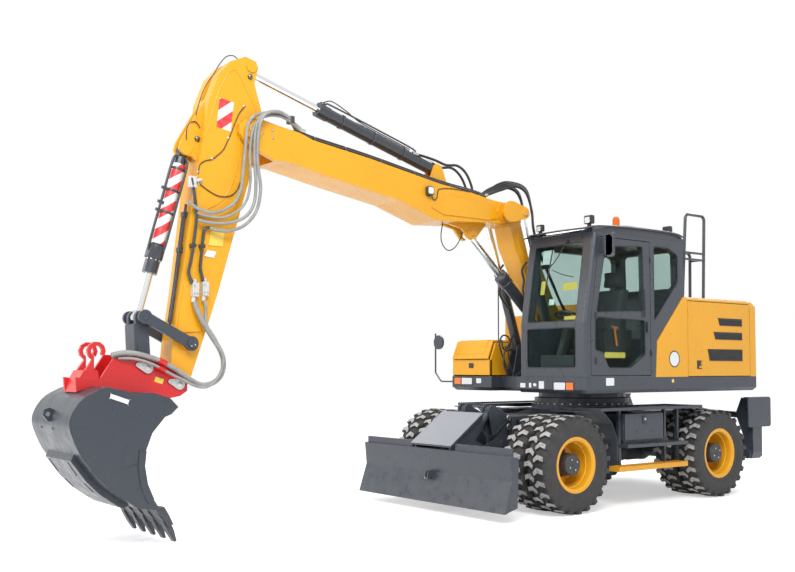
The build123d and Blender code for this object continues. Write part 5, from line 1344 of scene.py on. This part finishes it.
WIRE = (5, 8, 5)
wires = [
    pipe(beside_arm([
        (4757, 4103), (4811, 4036), (4854, 3951), (4906, 3816), (4945, 3730), (4990, 3640), (5063, 3568),
        (5104, 3535), (5177, 3510), (5228, 3465), (5240, 3380),
    ], 7), *WIRE),
    pipe(beside_arm([
        (5226, 3290), (5122, 3230), (5017, 3194), (4911, 3205), (4837, 3261), (4794, 3353),
    ], 9), *WIRE),
    pipe([
        (4830, 0, 4560), (4880, 0, 4582), (4950, -10, 4560), (5010, -30, 4478), (5060, -40, 4385),
        (5120, -50, 4290), (5170, -50, 4190), (5215, -50, 4057), (5245, -40, 3950),
    ], *WIRE),
    pipe([
        (5185, -72, 3842), (5231, -68, 3893), (5290, -66, 3878), (5325, -68, 3807), (5322, -72, 3712),
    ], *WIRE),
]
piece("arm_wires", wires, black_hose, "arm")
clips = [
    lathe([(13, 0), (13, 7), (8, 10)], arm_side(x, z), (0, 1, 0), 16)
    for x, z in ((4765, 4098), (4930, 3762), (5100, 3540), (5236, 3400), (5226, 3290), (5262, 3060))
]
piece("arm_wire_clips", clips, zinc, "arm")
side_pipes = [
    pipe(beside_arm([
        (5320, 3330), (5290, 3200), (5265, 3040), (5262, 2941), (5285, 2723), (5312, 2542), (5330, 2448),
        (5290, 2340),
    ], 34), 15, 12, 6),
    pipe(beside_arm([
        (5125, 2880), (5170, 2868), (5186, 2820), (5196, 2700), (5208, 2569), (5212, 2493), (5180, 2370),
    ], 34), 15, 12, 6),
    pipe(arm_front(-100, (3100, 2900, 2650, 2400, 2150, 1960)), 13, 12, 6),
    pipe(arm_front(-135, (3000, 2800, 2600, 2350, 2100, 1980)), 13, 12, 6),
]
piece("arm_pipes", side_pipes, pipe_steel, "arm")
saddles = []
for x, z in ((5288, 2700), (5196, 2700)):
    y = arm_side(x, z)[1]
    saddles.append(block((x - 26, x + 26), (y - 3, y + 54), (z - 17, z + 17)))
saddles += [block((x, x + 46), (-154, -82), (z, z + 50)) for x, z in ((5338, 2640), (5294, 2980))]
piece("arm_pipe_saddles", saddles, barrel_grey, "arm", bevel=4)
valves, valve_screws = [], []
for x, z in ((5262, 2286), (5160, 2300)):
    y0 = arm_side(x, z)[1]
    valves.append(block((x - 32, x + 32), (y0 - 4, y0 + 62), (z - 66, z + 66)))
    valves.append(bar((x + 12, y0 + 30, z - 66), (x + 16, y0 + 34, z - 120), 20, 14))
    valves.append(bar((x, y0 + 30, z + 60), (x + 2, y0 + 32, z + 100), 18, 14))
    valve_screws.append(hexes(
        [(x - 16, y0 + 62, z - 36), (x + 16, y0 + 62, z + 36), (x + 16, y0 + 62, z - 36)], (0, 1, 0), 16, 9,
    ))
valve_white = painted(
    "valve_blocks", (0.62, 0.62, 0.60), worn=(0.5, 0.5, 0.5), wear=0.3, dust_height=0.1, gloss=(0.3, 0.5),
)
piece("arm_valves", valves, valve_white, "arm", bevel=5)
piece("arm_valve_screws", valve_screws, zinc, "arm")
y = arm_side(5300, 3290)[1]
port = block((5270, 5340), (y - 4, y + 46), (3240, 3350))
ports = [
    port, bar((5262, 10, 3310), (5210, 34, 3330), 16, 12), bar((5290, 44, 3260), (5290, 74, 3250), 16, 12),
]
piece("arm_upper_union", ports, valve_white, "arm", bevel=4)
WELDS = (
    [
        (5140, 3800), (5110, 3967), (5060, 4140), (4975, 4330), (4909, 4421), (4841, 4419), (4717, 4219),
        (4640, 4084), (4625, 4018),
    ],
    [(4760, 3978), (4822, 3907), (4812, 3615), (4879, 3339), (4984, 3159), (5150, 3050)],
)
for way, tag in SIDES:
    lines = []
    for route in WELDS:
        sides = [arm_side(x, z) for x, z in route]
        lines.append(pipe([(x, BOOM_Y + way * (y - BOOM_Y), z) for x, y, z in sides], 6, 8, 5))
    piece("arm_weld_beads_" + tag, lines, boom_yellow, "arm")
arm_label = plate([(5085, 2895), (4945, 2894), (4972, 2715), (5122, 2717)], -6, -4)
piece("arm_label_yellow", [arm_label], yellow_label, "arm")
piece(
    "arm_label_white", [plate([(5131, 2672), (5035, 2660), (5060, 2600), (5160, 2612)], -8, -6)], white_label,
    "arm",
)

ARM_LOOPS = (
    [
        (4150, 62, 3960), (4290, 84, 4025), (4440, 112, 4058), (4590, 126, 4040), (4722, 122, 3983),
        (4775, 112, 3870), (4792, 100, 3661), (4815, 88, 3365), (4835, 78, 3240), (4909, 72, 3118),
        (5080, 64, 3025), (5242, 54, 3040), (5350, 44, 3100),
    ],
    [
        (4180, 36, 3962), (4300, 100, 4040), (4450, 138, 4072), (4580, 146, 4040), (4660, 140, 3975),
        (4702, 130, 3819), (4700, 118, 3574), (4676, 104, 3332), (4693, 92, 3134), (4790, 80, 2999),
        (4970, 66, 2932), (5150, 54, 2926), (5255, 50, 2940),
    ],
    [
        (4180, 10, 3962), (4330, 120, 4036), (4470, 162, 4060), (4590, 168, 4030), (4655, 160, 3945),
        (4680, 148, 3773), (4674, 134, 3528), (4632, 118, 3288), (4671, 102, 3068), (4789, 86, 2925),
        (4940, 70, 2862), (5060, 56, 2858), (5128, 34, 2878),
    ],
    [
        (4160, 70, 3940), (4320, 110, 4010), (4460, 128, 4030), (4600, 132, 4000), (4690, 126, 3930),
        (4735, 118, 3800), (4745, 106, 3600), (4730, 92, 3360), (4760, 80, 3180), (4850, 70, 3060),
        (5010, 60, 2985), (5180, 46, 2985), (5262, 30, 3010),
    ],
)
arm_loop = [pipe(route, r, 12, 7) for route, r in zip(ARM_LOOPS, (16, 16, 16, 13))]
loops = piece("arm_hoses", arm_loop, grey_hose, None)
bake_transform(loops)
hose_ends = [
    bar((4100, y, z - 12), (4190, y, z + 6), 20, 12) for y, z in ((62, 3950), (36, 3954), (10, 3954))
]
piece("arm_hose_ends", hose_ends, zinc, "upper_boom")
piece("hose_bracket", [block((4250, 4300), (30, 120), (3990, 4062))], pipe_steel, "upper_boom", bevel=6)

# ---- Bucket cylinder: its barrel carries a striped sleeve, two steel pipes held by straps, and a turned
# gland whose ten bolts stand in a ring.
at, down = cylinder_frame((5325, 3620), (5757, 2018))
sleeve_stripes = stripe_finish("sleeve_stripes", 0.62, 0.16)
sleeve = lathe([(67, 0), (69, 3), (69, 797), (67, 800), (63, 800), (63, 0)], at(150), down, 56, ring=True)
piece("striped_sleeve", [sleeve], sleeve_stripes, "bucket_barrel")
TOP_WAY = ((80, 40, 30), (130, 82, 34), (500, 86, 34), (980, 86, 30), (1020, 60, 20))
SIDE_WAY = ((90, -30, 60), (150, -54, 72), (500, -56, 72), (960, -54, 70), (1010, -30, 56))
rails = [pipe_beside(at, TOP_WAY, 13, 12), pipe_beside(at, SIDE_WAY, 11, 12)]
piece("bucket_barrel_pipes", rails, barrel_grey, "bucket_barrel")
straps = [
    lathe([(70, -11), (76, -9), (76, 9), (70, 11)], at(s), down, 40, ring=True) for s in (200, 420, 640)
]
straps += [bar(at(s, 60, 34), at(s, 118, 34), 15, 12) for s in (420, 560, 640)]
piece("bucket_barrel_straps", straps, pipe_steel, "bucket_barrel")
gland_bolts = [hexes(around(10, 62, at(1096), down, 0.5), down, 20, 14)]
gland = lathe(
    [(80, 0), (84, 6), (84, 120), (80, 128), (74, 132), (66, 132), (66, 0)], at(965), down, 48, ring=True,
)
piece("bucket_gland", [gland], barrel_grey, "bucket_barrel", bevel=2)
piece("bucket_gland_bolts", gland_bolts, zinc, "bucket_barrel")

# ---- Glands of the boom's cylinders: turned steel collars where the rods leave the barrels, grooved
# for the seals inside.
LIFT_GLAND = [
    (66, 0), (70, 4), (70, 30), (64, 36), (64, 60), (72, 66), (72, 120), (66, 126), (60, 126), (60, 0),
]
ADJUST_GLAND = [
    (78, 0), (84, 5), (84, 40), (78, 46), (78, 70), (86, 76), (86, 140), (80, 146), (72, 146), (72, 0),
]
lift_glands = []
for across in (300, -300):
    at, down = cylinder_frame((660, 1800), (1170, 3372), across)
    lift_glands.append(lathe(LIFT_GLAND, at(880), down, 40, ring=True))
piece("lift_glands", lift_glands, barrel_grey, "lift_barrels", bevel=1)
at, down = cylinder_frame((660, 2152), (1750, 3119))
piece(
    "adjust_gland", [lathe(ADJUST_GLAND, at(610), down, 44, ring=True)], barrel_grey, "adjust_barrel",
    bevel=1,
)

# ---- Quick coupler and bucket: a red cast coupler on a slate-grey digging bucket. Thick hoses loop from
# the arm's valves round to the coupler; plates and labels are blank.
coupler_red = painted(
    "coupler_red", (0.66, 0.010, 0.010), wear=0.3, dust_height=0.3, gloss=(0.22, 0.36), coat=0.3,
)
bucket_grey = painted("bucket_grey", (0.036, 0.045, 0.058), wear=0.5, dust_height=0.5, gloss=(0.25, 0.42))
dress(coupler_red, "quick_coupler")
dress(bucket_grey, "bucket")


def teardrop(a, ra, b, rb, count=40):
    """The outline drawn tight round two circles: in each direction, the circle that reaches further."""
    t = np.linspace(0, 2 * np.pi, count, endpoint=False)
    d = np.stack([np.cos(t), np.sin(t)], -1)
    a, b = np.array(a, float), np.array(b, float)
    first = (d @ a + ra) >= (d @ b + rb)
    return np.where(first[:, None], a + ra * d, b + rb * d)


CHEEK, COVER = 174, 6
covers, cover_bolts = [], []
for way in (1, -1):
    for x, z in ((5721, 1556), (5409, 1407)):
        face = BOOM_Y + way * (CHEEK + COVER)
        y = sorted((BOOM_Y + way * CHEEK, face))
        covers.append(plate(teardrop((x, z), 50, (x + 95, z + 28), 20), *y))
        cover_bolts.append(lathe([(24, 0), (24, 7), (16, 10)], (x, face, z), (0, way, 0), 28))
        cover_bolts.append(hexes([(x + 92, face, z + 27), (x + 40, face, z + 30)], (0, way, 0), 16, 7))
silver = metal("silver_paint", (0.58, 0.59, 0.60), 0.42, metallic=0.6)
piece("coupler_covers", covers, silver, "bucket", bevel=2)
piece("coupler_cover_bolts", cover_bolts, zinc, "bucket")
coupler_labels = [plate([(5640, 1478), (5560, 1452), (5576, 1408), (5656, 1434)], 13, 15)]
piece("coupler_labels", coupler_labels, yellow_label, "bucket")

LOOP_A = [
    (5275, 32, 2170), (5245, 46, 2077), (5180, 56, 1957), (5106, 60, 1847), (5022, 60, 1725),
    (4984, 58, 1613), (5005, 56, 1495), (5085, 56, 1420), (5204, 56, 1398), (5326, 56, 1452),
    (5475, 54, 1548), (5622, 50, 1622), (5812, 44, 1678), (5952, 36, 1690), (6060, 20, 1668),
]
LOOP_B = [
    (5172, 34, 2190), (5165, 44, 2098), (5160, 50, 1967), (5070, 64, 1819), (5006, 92, 1650),
    (5036, 90, 1500), (5133, 88, 1396), (5254, 86, 1384), (5425, 84, 1456), (5572, 82, 1524),
    (5700, 70, 1590), (5860, 56, 1636), (6000, 20, 1640),
]
thick = piece("coupler_hose_thick", [pipe(LOOP_A, 24, 14, 7)], grey_hose, None)
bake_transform(thick)
thin = piece("coupler_hose_thin", [pipe(LOOP_B, 14, 12, 7)], grey_hose, None)
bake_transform(thin)
hose_bands = [
    bar((5560, 53, 1590), (5632, 50, 1626), 31, 18), bar((5582, 81, 1528), (5640, 76, 1560), 21, 16),
]
piece("coupler_hose_bands", hose_bands, coupler_red, "bucket", bevel=2)

BUCKET_SIDE = 350.0
name_plate = plate(
    [(6195, 1350), (6012, 1286), (6030, 1232), (6208, 1296)], BUCKET_SIDE - 0.5, BUCKET_SIDE + 2,
)
inner_plate = plate(
    [(6188, 1338), (6024, 1281), (6036, 1244), (6196, 1300)], BUCKET_SIDE + 1, BUCKET_SIDE + 3,
)
piece("bucket_plate_frame", [name_plate], black_plastic, "bucket")
piece("bucket_plate", [inner_plate], white_label, "bucket")
screws = hexes([
    (6190, BUCKET_SIDE + 2, 1342), (6018, BUCKET_SIDE + 2, 1283), (6034, BUCKET_SIDE + 2, 1238),
    (6200, BUCKET_SIDE + 2, 1298),
], (0, 1, 0), 8, 3)
piece("bucket_plate_screws", [screws], zinc, "bucket")
dots = [
    lathe([(6, 0), (6, 2)], (x, BUCKET_SIDE, z), (0, 1, 0), 12)
    for x, z in np.stack([np.linspace(6010, 6090, 9), np.linspace(1180, 620, 9)], -1)
]
piece("bucket_weld_dots", dots, bucket_grey, "bucket")
seam = pipe(
    [(6080, BUCKET_SIDE + 1, 690), (5990, BUCKET_SIDE + 1, 720), (5880, BUCKET_SIDE + 1, 760)], 4, 6, 3,
)
piece("bucket_seam", [seam], bucket_grey, "bucket")
BACK = [
    (6290, 1373), (6422, 1301), (6506, 1197), (6537, 1093), (6513, 987), (6437, 826), (6305, 650),
    (6193, 535), (6024, 415),
]
curve = np.array(smooth_line([(x, 0, z) for x, z in BACK], 6))[:, [0, 2]]
centre = np.array([6000.0, 900.0])
inner = [tuple(centre + 0.99 * (np.array(p) - centre)) for p in reversed(BACK)]
piece("bucket_back", [plate([tuple(p) for p in curve] + inner, -649.7, 350.3)], bucket_grey, "bucket")
# Near-black strips and discs laid on the bucket: painted shade standing for the dark insides of its slots and
# holes.
slot_shade_paint = painted("slot_shadow", (0.008, 0.008, 0.009), wear=0.0, dust_height=0.01)
slots = []
for x0, z0, x1, z1, y0, y1 in (
    (6448, 752, 6361, 635, -420, -448), (6448, 752, 6361, 635, 66, 38), (6300, 563, 6225, 489, -424, -432),
    (6300, 563, 6225, 489, 60, 68),
):
    run = np.array([x1 - x0, y1 - y0, z1 - z0], float)
    length = np.linalg.norm(run)
    out = np.cross((0, 1, 0), run)
    out = np.sign(out[0]) * out / np.linalg.norm(out)
    slots.append(slab(
        [(0, -8), (length, -8), (length, 8), (0, 8)], (x0, y0, z0), run / length, np.cross(out, run / length),
        -4, 4,
    ))
slots += [lathe([(13, -8), (13, 8)], (6526, y, 1036), (0.98, 0, -0.2), 20) for y in (-390, -90)]
piece("bucket_slots", slots, slot_shade_paint, "bucket")
